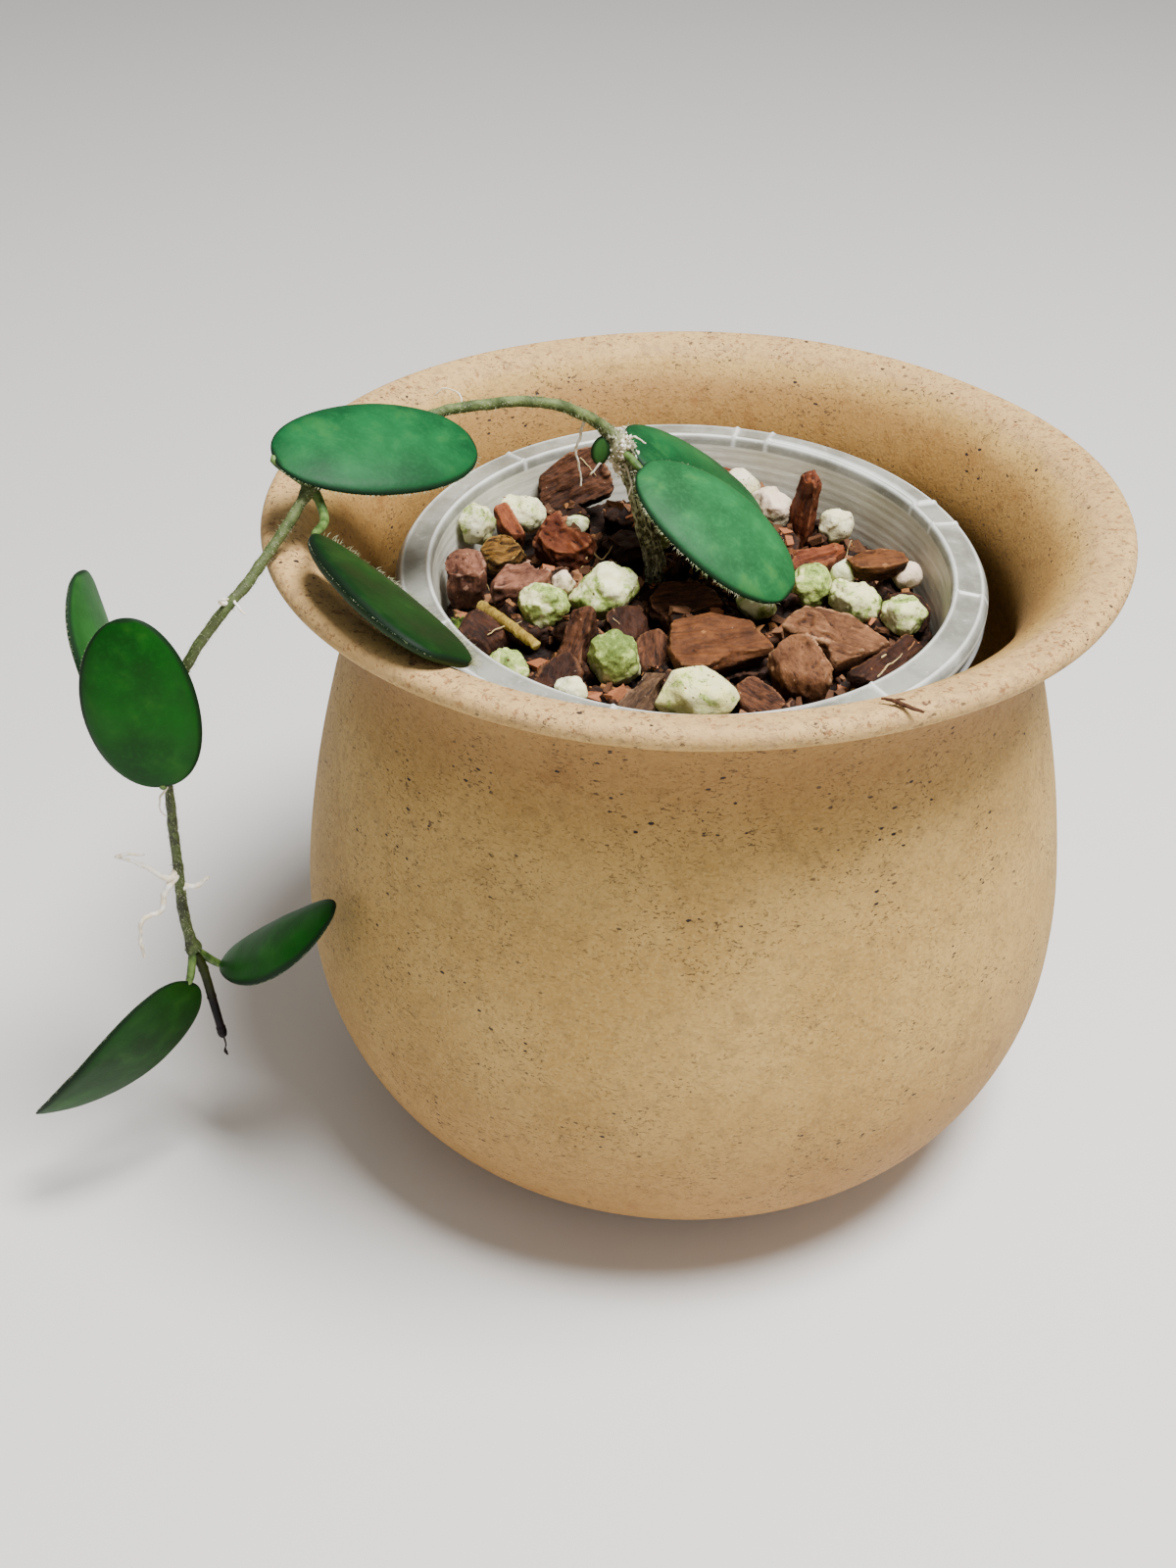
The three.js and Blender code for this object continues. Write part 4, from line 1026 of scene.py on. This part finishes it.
def vine_material():
    """Olive green with lengthwise streaks, pale lint and a mossy, scurfy foot."""
    material, nodes = start_material("vine")
    place = millimetres(nodes)
    stem = stored(nodes, "stem")
    foot = stem.part(0)
    joint = stem.part(1)
    old = stem.part(2)
    clouds = speckle(nodes, place, 3.5, fine=4, rough=0.6)
    scurf = speckle(nodes, place, 0.9, fine=5, rough=0.7)
    colour = clouds.rising(0.35, 0.65).blend(paint(64, 78, 36), paint(112, 126, 72))
    colour = (old * clouds.rising(0.4, 0.6)).blend(colour, paint(38, 40, 18))
    colour = (scurf.rising(0.58, 0.7) * (0.75 - old * 0.45)).blend(colour, paint(178, 178, 140))
    colour = (joint * (0.35 + scurf.rising(0.45, 0.6) * 0.6)).blend(colour, paint(214, 200, 172))
    mossy = scurf.rising(0.42, 0.62).blend(paint(52, 48, 28), paint(176, 178, 140))
    colour = (foot * 0.9).blend(colour, mossy)
    surfaced(nodes, colour, 0.75 - clouds * 0.2, scurf, 0.25)
    return material


root_finish = clouded_material("root", (240, 222, 188), (255, 252, 240), 1.4, 0.75, 4, 0.1)
vine_line = smooth_line(STEM_ROUTE, STEM_RINGS)
vine_radii = along_line(STEM_RINGS, STEM_RADII_AT, STEM_RADII)
joint_share = np.zeros(STEM_RINGS)
for place, swell, span in SWELLINGS:
    near = np.exp(-((np.linalg.norm(vine_line - place, axis=1) / span) ** 2))
    vine_radii = vine_radii + swell * near
    joint_share = np.maximum(joint_share, near)
vine_points, vine_faces = tube(vine_line, vine_radii, STEM_SIDES)
centres = np.repeat(vine_line, STEM_SIDES, axis=0)
outward = (vine_points - centres) / np.linalg.norm(vine_points - centres, axis=1)[:, None]
foot_share = np.clip((150.5 - centres[:, 2]) / 6, 0, 1) * (centres[:, 0] > -20)
relief = 0.16 * field(vine_points, 2.2, 2, 3) + 0.3 * foot_share * field(vine_points, 1.3, 4, 3)
relief += 0.45 * np.repeat(joint_share, STEM_SIDES) * field(vine_points, 1.5, 6, 2)
vine_points = vine_points + outward * relief[:, None]
first_joint = np.exp(-((np.linalg.norm(vine_line - NODE_1, axis=1) / 3.4) ** 2))
old_share = along_line(STEM_RINGS, [0, 0.5, 0.62, 1], [0, 0, 0.7, 1])
marks = np.stack([foot_share, np.repeat(first_joint, STEM_SIDES), np.repeat(old_share, STEM_SIDES)], axis=1)
roots = []
for route in BURIED_ROOTS:
    line = smooth_line(route, BURIED_RINGS)
    roots.append(tube(line + 0.5 * wavering(line, 6, 1), np.linspace(1.2, 0.5, BURIED_RINGS), 8))
for route, thick in AIR_ROOTS:
    count = 16 * len(route)
    line = smooth_line(route, count)
    line = line + 0.7 * wavering(line, 3.2, 6) * np.linspace(0, 1, count)[:, None] ** 0.5
    roots.append(tube(line, thick * np.linspace(1, 0.45, count) * (1 + 0.25 * field(line, 1.2, 3, 2)), 8))
root_points, root_faces = joined(roots)
whole_points, whole_faces = joined([(vine_points, vine_faces), (root_points, root_faces)])
vine = solid("vine_stem", whole_points, whole_faces, vine_material(), root_finish)
vine.data.polygons.foreach_set("material_index", [0] * len(vine_faces) + [1] * len(root_faces))
keep_vectors(vine, "stem", np.vstack([marks, np.zeros((len(root_points), 3))]))
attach(vine, "root")
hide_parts("stem")

# Hairs and rootlets of the vine
# Fine pale hairs all along the stem, longest near its nodes. Short roots wrap its foot, mixed with crumbs,
# and pale dry scurf covers its first node.
HAIR_THICK = 0.033
VINE_HAIRS = 3400
ROOTLETS = 34
ROOTLET_RINGS = 40
FOOT_CRUMBS = 420
SCURF_BITS = 220
# The stem's rings between which the rootlets start and the crumbs sit
ROOTLET_STARTS = (66, 92)
CRUMB_PLACES = (20, 96)


def hair_mesh(starts, aims, lengths, droop=0.25, thickness=HAIR_THICK):
    """Many fine three-sided hairs, each bent once, as one mesh. Longer hairs are thicker."""
    points = []
    faces = []
    for start, aim, length in zip(starts, aims, lengths):
        aim = aim / np.linalg.norm(aim)
        side = np.cross(aim, (0.2, 0.9, 0.4))
        side /= np.linalg.norm(side)
        other = np.cross(aim, side)
        first = len(points)
        middle = start + aim * length * 0.5
        end = start + aim * length + (0, 0, -droop * length)
        thick_start = thickness * (0.8 + 0.3 * length)
        for centre, thick in ((start, thick_start), (middle, thick_start * 0.8)):
            for turn in np.radians((0, 120, 240)):
                points.append(centre + thick * (side * math.cos(turn) + other * math.sin(turn)))
        points.append(end)
        faces.append((first + 2, first + 1, first))
        for j in range(3):
            k = (j + 1) % 3
            faces.append((first + j, first + k, first + 3 + k, first + 3 + j))
            faces.append((first + 3 + j, first + 3 + k, first + 6))
    return np.array(points), faces


def scatter(draw, size=1.0):
    """A random direction of a random length, about this size."""
    return size * np.array([draw.gauss(0, 1) for _ in range(3)])


hair_finish = clouded_material("hair", (140, 156, 104), (216, 216, 180), 3, 0.6)
draw = random.Random(3)
starts, aims, lengths = [], [], []
for _ in range(VINE_HAIRS):
    i = draw.randrange(8, STEM_RINGS - 1)
    j = draw.randrange(STEM_SIDES)
    k = i * STEM_SIDES + j
    starts.append(vine_points[k] - outward[k] * 0.05)
    aims.append(outward[k] + scatter(draw, 0.42))
    lengths.append((0.35 + 0.55 * draw.random()) * (1 + 0.8 * joint_share[i]))
vine_hairs = solid("vine_hairs", *hair_mesh(starts, aims, lengths), hair_finish)
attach(vine_hairs, "root")

rootlets = []
for number in range(ROOTLETS):
    i = draw.randrange(*ROOTLET_STARTS)
    turn = draw.random() * 2 * math.pi
    run = draw.uniform(12, 30)
    lift = draw.uniform(0.05, 0.55)
    drift = draw.uniform(-1.6, 1.6)
    line = []
    for step in np.linspace(0, 1, 9):
        k = max(int(i - step * run * 2.2), 6)
        hold = vine_radii[k] + 0.1 + lift * math.sin(step * 3.1) + draw.uniform(-0.1, 0.15)
        line.append(vine_line[k] + hold * np.array([math.cos(turn), math.sin(turn), 0.0]))
        turn += drift * 0.125 + draw.uniform(-0.16, 0.16)
    line = smooth_line(line, ROOTLET_RINGS)
    line += 0.3 * wavering(line, 2.2, number + 1)
    rootlets.append(tube(line, draw.uniform(0.14, 0.36) * np.linspace(1, 0.45, ROOTLET_RINGS), 6))
for _ in range(FOOT_CRUMBS):
    k = draw.randrange(*CRUMB_PLACES)
    turn = draw.random() * 2 * math.pi
    out = np.array([math.cos(turn), math.sin(turn), 0.2])
    spot = vine_line[k] + out * (vine_radii[k] + draw.uniform(0, 0.35))
    rootlets.append(crumb(draw, spot, out, draw.uniform(0.15, 0.42)))
old_root_finish = clouded_material("old_root", (84, 82, 52), (206, 208, 178), 1.4, 0.75, 4, 0.1)
foot_roots = solid("foot_rootlets", *joined(rootlets), old_root_finish)
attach(foot_roots, "root")

scurf_bits = []
for _ in range(SCURF_BITS):
    aim = scatter(draw) * (1, 1, 1.5)
    aim /= np.linalg.norm(aim)
    near = np.array(NODE_1) + aim * draw.uniform(1.9, 3.1) * (1, 1, 1.5) - (0, 0, 1.5)
    centre = vine_line[np.argmin(np.linalg.norm(vine_line - near, axis=1))]
    out = (near - centre) / np.linalg.norm(near - centre)
    scurf_bits.append(crumb(draw, centre + out * draw.uniform(1.8, 3.0), out, draw.uniform(0.15, 0.5)))
scurf = solid("node_scurf", *joined(scurf_bits), root_finish)
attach(scurf, "root")

# Moss
# Small green tufts of moss that have grown on the damp mix, by the pot's wall and behind the stones. Each is
# many short soft shoots.
MOSS_SHOOTS = 110
# Each tuft's place in the nursery pot and how far it spreads
MOSS = ((-47.2, -7, 2.6), (-45.5, -3, 1.8), (-46, -12, 1.6), (37.5, 7, 1.9), (41, 5.6, 1.4), (-12, 12, 2.2))

moss_starts, moss_aims, moss_lengths = [], [], []
for middle_x, middle_y, spread in MOSS:
    for _ in range(int(MOSS_SHOOTS * spread)):
        x, y = (middle + draw.gauss(0, spread / 2) for middle in (middle_x, middle_y))
        x, y, _ = in_pot([x, y, LYING_LEVEL])
        spot, facing, face = landed(x, y)
        if spot is None or face >= bed_count:
            continue
        moss_starts.append(np.array(spot) - (0, 0, 0.1))
        moss_aims.append(np.array(facing) + [draw.gauss(0, 0.45), draw.gauss(0, 0.45), 0.5])
        moss_lengths.append(draw.uniform(0.4, 1.3))
moss_finish = clouded_material("moss", (52, 76, 14), (132, 158, 52), 1.2, 0.8)
moss = solid("moss_tufts", *hair_mesh(moss_starts, moss_aims, moss_lengths, 0.1, 0.09), moss_finish)
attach(moss, "root")

# Leaves
# Eight thick waxy oval leaves in opposite pairs, on short petioles. Each blade is bent along its midrib,
# falls a little to its margins, and has a dark rounded rim. Their numbers run from the foot to the tip.
LEAF_THICKNESS = 2.6
# How much thicker than that some leaves are
PLUMP_LEAVES = {"leaf_2b": 1.55}
PETIOLE_RINGS = 30
# For each leaf: where its blade starts, the angles of its midrib and its roll in degrees, its size, how far
# it sags, cups and bows, how slender it is aft and fore, and the points that its petiole passes
LEAF_FIELDS = "name node base heading rise roll length width sag cup aft fore bow via".split()
LEAVES = [dict(zip(LEAF_FIELDS, row)) for row in (
    ("leaf_1a", NODE_1, (-14.8, 17.9, 149.4), 17, -26, 12, 37.5, 23.9, 0.3, 1.9, 0.47, 0.56, -0.2, ()),
    ("leaf_1b", NODE_1, (-11.4, 8.9, 147.1), -23, -20, 9, 39.7, 24.1, 0.44, 1.2, 0.48, 0.44, 0.2, ()),
    ("leaf_2a", NODE_2, (-77.8, -24.3, 162.6), 30, 1, 21, 41.7, 24.3, 0.36, 1.4, 0.46, 0.44, -0.3, ()),
    ("leaf_2b", NODE_2, (-68.3, -37.5, 153.9), -47.8, -13.2, -33.9, 41.7, 20.7, -0.12, -0.4, 0.58, 0.31,
     -0.1, ((-69.2, -26.5, 154.6), (-67.9, -30.5, 153.2))),
    ("leaf_3a", NODE_3, (-103, -44.9, 107.6), 140, 58, 47, 38.4, 24, -0.2, 2, 0.51, 0.38, 0.2, ()),
    ("leaf_3b", NODE_3, (-98.8, -50.8, 106.1), -115, 82, -146, 36.6, 21.5, 0.31, 1.2, 0.44, 0.49, 0.6, ()),
    ("leaf_4a", NODE_4, (-101, -46.6, 52.9), -128, -44, -99, 45.8, 24.4, 0.79, 0.8, 0.43, 0.84, 0.2, ()),
    ("leaf_4b", NODE_4, (-95.9, -40.3, 52.6), -25.4, 45.9, 26.5, 40, 15.4, 0.22, 1.6, 0.6, 0.5, -2.5, ()),
)]
# Each leaf's green, how much yellow-green mottle it has, and how long the hairs of its two margins are, in
# # millimetres. The greens are set leaf by leaf to how lit each leaf looks, so they hold painted light and
# shade:
# # leaf_2b and leaf_1a are darkened for the shade they lie in.
LEAF_LOOKS = {
    "leaf_1a": (paint(20, 88, 46), 0.1, 0.5, 1.0),
    "leaf_1b": (paint(40, 112, 62), 0.25, 1.2, 0.5),
    "leaf_2a": (paint(22, 94, 50), 0.1, 1.1, 0.4),
    "leaf_2b": (paint(5, 54, 10), 0.1, 0.3, 2.8),
    "leaf_3a": (paint(44, 98, 44), 0.15, 0.6, 0.6),
    "leaf_3b": (paint(3, 82, 3), 0.1, 0.35, 0.35),
    "leaf_4a": (paint(18, 70, 8), 0.08, 0.3, 0.3),
    "leaf_4b": (paint(10, 84, 6), 0.05, 0.3, 0.3),
}


def leaf_axes(leaf):
    """The blade's own directions: along its midrib, across it and out of its upper face."""
    heading, rise, roll = (math.radians(leaf[key]) for key in ("heading", "rise", "roll"))
    along = np.array([math.cos(heading), math.sin(heading), 0]) * math.cos(rise) + (0, 0, math.sin(rise))
    flat = np.array([-math.sin(heading), math.cos(heading), 0])
    across = flat * math.cos(roll) + np.cross(along, flat) * math.sin(roll)
    return along, across, np.cross(along, across)


def leaf_point(leaf, share, side, face):
    """A point of the blade and how far it is from the margin, from its share along the midrib, its share
    across, -1 to 1, and its face, 1 above, -1 below and 0 on the margin."""
    along, across, up = leaf_axes(leaf)
    peak = leaf["aft"] / (leaf["aft"] + leaf["fore"])
    fullest = peak ** leaf["aft"] * (1 - peak) ** leaf["fore"]
    spread = share ** leaf["aft"] * (1 - share) ** leaf["fore"] / fullest
    bend = leaf["sag"] * share
    forward = leaf["length"] * math.sin(bend) / leaf["sag"]
    fall = -leaf["length"] * (1 - math.cos(bend)) / leaf["sag"]
    arch = 4 * share * (1 - share)
    half = LEAF_THICKNESS / 2 * PLUMP_LEAVES.get(leaf["name"], 1)
    half *= arch ** (0.5 * leaf["fore"] + 0.13) * math.sqrt(max(1 - side**4, 0))
    rim = 0.16 * math.exp(-(((abs(side) - 0.86) / 0.1) ** 2)) * arch
    rib = side * spread * leaf["width"] / 2
    lift = face * (half + rim) - leaf["cup"] * (spread * side) ** 2
    place = np.array(leaf["base"]) + along * (forward + math.sin(bend) * lift)
    place = place + up * (fall + math.cos(bend) * lift) + across * (leaf["bow"] * arch + rib)
    margin = (1 - abs(side)) * spread * leaf["width"] / 2
    return place, min(margin, share * leaf["length"], (1 - share) * leaf["length"])


def blade_mesh(leaf, rings=82, around=52):
    """The blade's points and faces, and for each point its distance from the margin and its face."""
    points, marks = [], []
    for turn in np.linspace(0, math.pi, rings + 2)[1:-1]:
        share = (1 - math.cos(turn)) / 2
        for spin in np.linspace(0, 2 * math.pi, around, endpoint=False):
            face = np.sign(round(math.sin(spin), 9))
            place, margin = leaf_point(leaf, share, math.cos(spin), face)
            points.append(place)
            marks.append((margin, face, 0))
    for share in (1e-7, 1 - 1e-7):
        points.append(leaf_point(leaf, share, 0, 0)[0])
        marks.append((0, 0, 0))
    points = np.array(points)
    _, _, up = leaf_axes(leaf)
    points += up * (0.14 * field(points, 9, leaf["length"], 2))[:, None]
    return points, ring_faces(rings, around), marks


def leaf_material(name, green, mottle):
    """Waxy green, clouded and a little mottled, darker towards the margin and paler underneath."""
    material, nodes = start_material(name)
    place = millimetres(nodes)
    blade = stored(nodes, "blade")
    margin = blade.part(0)
    side = blade.part(1)
    clouds = speckle(nodes, place, 12, fine=3)
    patches = speckle(nodes, place, 6, fine=4, rough=0.6, warp=0.3)
    grain = speckle(nodes, place, 0.8, fine=3)
    deep = tuple(part * 0.5 for part in green[:3]) + (1,)
    fresh = tuple(min(part * 1.3 + 0.008, 1) for part in green[:3]) + (1,)
    colour = clouds.rising(0.32, 0.68).blend(deep, green)
    colour = (patches.rising(0.45, 0.75) * 0.4).blend(colour, fresh)
    colour = (patches.rising(0.54, 0.74) * mottle).blend(colour, paint(90, 122, 32))
    colour = (grain.rising(0.45, 0.7) * 0.2).blend(colour, fresh)
    soft = (4.2 + clouds - margin).rising(0, 4.2)
    colour = (soft * 0.55).blend(colour, deep)
    rim = (0.8 + patches * 0.6 - margin).rising(0, 0.9)
    colour = (rim * 0.85).blend(colour, paint(14, 30, 18))
    under = (0 - side).rising(0.1, 0.9)
    colour = (under * 0.12).blend(colour, paint(84, 118, 60))
    scar = spots(nodes, place, 6.5, 0.4, 0.12)
    colour = (scar * 0.5).blend(colour, paint(186, 204, 130))
    relief = patches * 0.5 + grain * 0.2
    surfaced(nodes, colour, 0.46 + grain * 0.12 + rim * 0.1, relief, 0.2, Specular_IOR_Level=0.16)
    return material


petiole_finish = clouded_material("petiole", (52, 80, 30), (100, 126, 62), 2.2, 0.55, 4, 0.15)
hair_starts, hair_aims, hair_lengths = [], [], []
draw = random.Random(8)
for leaf in LEAVES:
    green, mottle, *fringes = LEAF_LOOKS[leaf["name"]]
    along, across, up = leaf_axes(leaf)
    points, faces, marks = blade_mesh(leaf)
    base = np.array(leaf["base"])
    route = [leaf["node"], *leaf["via"], base - up * 0.15, base + along * 1.1 - up * 0.4]
    radii = along_line(PETIOLE_RINGS, [0, 0.2, 0.75, 0.88, 1], [1.15, 0.9, 0.85, 0.75, 0.35])
    stalk_points, stalk_faces = tube(smooth_line(route, PETIOLE_RINGS), radii, 12)
    whole_points, whole_faces = joined([(points, faces), (stalk_points, stalk_faces)])
    blade = solid(leaf["name"] + "_blade", whole_points, whole_faces,
                  leaf_material(leaf["name"], green, mottle), petiole_finish)
    blade.data.polygons.foreach_set("material_index", [0] * len(faces) + [1] * len(stalk_faces))
    keep_vectors(blade, "blade", marks + [(5, 0, 0)] * len(stalk_points))
    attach(blade, "root")
    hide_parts(leaf["name"])
    for edge, fringe in zip((-1, 1), fringes):
        for _ in range(int(110 + 150 * max(fringe - 0.6, 0))):
            share = draw.uniform(0.012, 0.99)
            place, _ = leaf_point(leaf, share, edge * 0.997, 0)
            lean_out = across * edge * (0.35 + math.sin(math.pi * share)) + along * (share - 0.5) * 2.2
            if fringe > 2:
                lean_out = lean_out + up * 0.9
            hair_starts.append(place)
            hair_aims.append(lean_out + up * draw.gauss(0, 0.8) + along * draw.gauss(0, 0.8))
            hair_lengths.append(fringe * draw.uniform(0.3, 1.15))
leaf_hairs = solid("leaf_hairs", *hair_mesh(hair_starts, hair_aims, hair_lengths), hair_finish)
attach(leaf_hairs, "root")

# New leaf at the first node
# A small leaf that has only begun to open, folded along its midrib and held against the stem.
BUD_PLACE = np.array((-19.6, 11.8, 149.2))
BUD_LENGTH = 6.4
BUD_WIDTH = 3.9
BUD_LEAN = math.radians(8)
BUD_RINGS = 26
BUD_SIDES = 20

bud_heading = np.array((math.sin(BUD_LEAN), 0, math.cos(BUD_LEAN)))
bud_across = np.array((math.cos(BUD_LEAN), 0, -math.sin(BUD_LEAN)))
bud_points, bud_marks = [], []
for share in np.linspace(0.001, 0.999, BUD_RINGS):
    spread = (share**0.6 * (1 - share) ** 0.55) / (0.52**0.6 * 0.48**0.55)
    half = spread * BUD_WIDTH / 2
    for spin in np.linspace(0, 2 * math.pi, BUD_SIDES, endpoint=False):
        side = math.cos(spin)
        thick = 0.8 * spread**0.5 * math.sin(spin)
        fold = 0.75 * abs(side) * spread
        place = BUD_PLACE + bud_heading * BUD_LENGTH * (share - 0.5) + bud_across * side * half
        bud_points.append(place + np.array((0, thick - fold + 0.25, 0)))
        bud_marks.append(((1 - abs(side)) * half, 0, 0))
bud = solid("bud_leaf_blade", bud_points, limb_faces(BUD_RINGS, BUD_SIDES),
            leaf_material("bud_leaf", paint(70, 122, 62), 0.2))
keep_vectors(bud, "blade", bud_marks)
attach(bud, "root")
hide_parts("bud_leaf")

# Shoot tip
# The vine's growing tip: a straight dark purple shoot with a scaly, slightly thicker end, and under it the
# dried remains of a thread.
TIP_ROUTE = [(-100.3, -43, 58), (-99.1, -43, 54.4), (-97.8, -43.2, 45), (-96.5, -43.5, 34.5)]
DRY_END_ROUTE = [(-96.5, -43.5, 34.9), (-96.2, -43.6, 32.6), (-96.5, -43.7, 30.9), (-96.1, -43.7, 29.6)]
SHOOT_RINGS = 70
DRY_END_RINGS = 16
# The shares of its length at which the shoot has a raised ring
SHOOT_SCARS = (0.2, 0.52, 0.88)


def shoot_material():
    """Dark purple with a little lint, greener where it leaves the vine."""
    material, nodes = start_material("young_shoot")
    place = millimetres(nodes)
    clouds = speckle(nodes, place, 2.4, fine=4)
    lint = speckle(nodes, place, 0.7, fine=4)
    colour = clouds.rising(0.35, 0.65).blend(paint(9, 4, 8), paint(26, 11, 19))
    colour = (lint.rising(0.62, 0.7) * 0.2).blend(colour, paint(84, 60, 68))
    colour = ((place.part(2) + clouds * 9).rising(48, 58) * 0.7).blend(colour, paint(50, 58, 24))
    surfaced(nodes, colour, 0.5, clouds, 0.15, Specular_IOR_Level=0.14)
    return material


shoot_share = np.linspace(0, 1, SHOOT_RINGS)
shoot_radii = along_line(
    SHOOT_RINGS, [0, 0.12, 0.3, 0.86, 0.93, 0.975, 1], [1.25, 1.05, 0.98, 0.88, 1.1, 0.9, 0.3])
for scar in SHOOT_SCARS:
    shoot_radii += 0.14 * np.exp(-(((shoot_share - scar) / 0.012) ** 2))
dry_radii = along_line(DRY_END_RINGS, [0, 0.6, 0.8, 1], [0.22, 0.14, 0.4, 0.2])
shoot_points, shoot_faces = joined([
    tube(smooth_line(TIP_ROUTE, SHOOT_RINGS), shoot_radii, 14),
    tube(smooth_line(DRY_END_ROUTE, DRY_END_RINGS), dry_radii, 7),
])
shoot = solid("growing_tip", shoot_points, shoot_faces, shoot_material())
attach(shoot, "root")
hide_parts("shoot_tip")

# Twig and sliver
# A short yellow-brown twig lies among the chips at the front left. A dry forked sliver of bark has fallen on
# the front of the cachepot's lip.
TWIG_ROUTE = [(-42, -9, 113.6), (-36, -16, 114.4), (-29.5, -23, 114.2)]
TWIG_RINGS = 60
SLIVER_PLACE = (35.2, -75.4, 147.35)
SLIVER_SCALE = 0.85
SLIVER_RINGS = 26
# The route of each of the sliver's two limbs from its place, and its radii at the start, middle and end
SLIVER_LIMBS = (
    ([(-4, 2, 0), (-1.5, 0.9, 0.1), (1, -0.6, 0), (4, -2, -0.2)], (0.21, 0.42, 0.24)),
    ([(-1.6, 1.0, 0), (-0.4, 1.5, 0.2), (0.8, 1.7, 0.2)], (0.3, 0.204, 0.096)),
)

twig_line = smooth_line(in_pot(TWIG_ROUTE), TWIG_RINGS)
twig_points, twig_faces = tube(twig_line, np.linspace(1.3, 1.0, TWIG_RINGS), 16)
twig_points += 0.18 * wavering(twig_points, 1.6, 1)
twig_bark = bark_material("twig_bark", (182, 150, 62), (92, 68, 28), (212, 186, 104), 0.5)
twig = solid("dry_twig", twig_points, twig_faces, twig_bark)
lengthwise = np.linalg.norm(twig_points - twig_points[0], axis=1)
crosswise = twig_points[:, 0] - twig_points[:, 1]
keep_vectors(twig, "grain", np.stack([lengthwise, crosswise, twig_points[:, 2]], axis=1))
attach(twig, "root")
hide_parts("twig")

sliver_parts = []
for route, radii in SLIVER_LIMBS:
    line = smooth_line(route, SLIVER_RINGS)
    line = SLIVER_SCALE * (line + 0.16 * wavering(line, 1.4, 4)) + SLIVER_PLACE
    sliver_parts.append(tube(line, along_line(SLIVER_RINGS, [0, 0.5, 1], radii), 9))
sliver_points, sliver_faces = joined(sliver_parts)
sliver = solid("dry_sliver", sliver_points, sliver_faces, BARKS["dark"])
keep_vectors(sliver, "grain", sliver_points)
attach(sliver, "root")
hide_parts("sliver")

# Floor and light
# A plain pale floor and a soft overhead studio light.
FLOOR_REACH = 2000

floor_material, floor_nodes = start_material("floor")
surfaced(floor_nodes, (0.8, 0.79, 0.77, 1), 0.6)
floor_corners = [(x * FLOOR_REACH, y * FLOOR_REACH, 0) for x, y in ((-1, -1), (1, -1), (1, 1), (-1, 1))]
floor = solid("floor", floor_corners, [(0, 1, 2, 3)], floor_material)


def lamp(name, place, aim, width, power):
    """A round soft lamp, in metres and watts."""
    light = bpy.data.lights.new(name, "AREA")
    light.shape = "DISK"
    light.size = width
    light.energy = power
    holder = bpy.data.objects.new(name, light)
    holder.location = place
    holder.rotation_euler = (Vector(aim) - Vector(place)).to_track_quat("-Z", "Y").to_euler()
    bpy.context.scene.collection.objects.link(holder)


lamp("overhead", (0.28, -0.16, 1.15), (0, 0, 0.08), 0.45, 30)
lamp("window", (0.9, -0.9, 0.6), (0, 0, 0.08), 0.8, 2.5)
world = bpy.data.worlds.new("studio")
bpy.context.scene.world = world
world.use_nodes = True
sky = world.node_tree.nodes["Background"]
sky.inputs["Color"].default_value = (1.0, 0.96, 0.9, 1)
sky.inputs["Strength"].default_value = 0.32
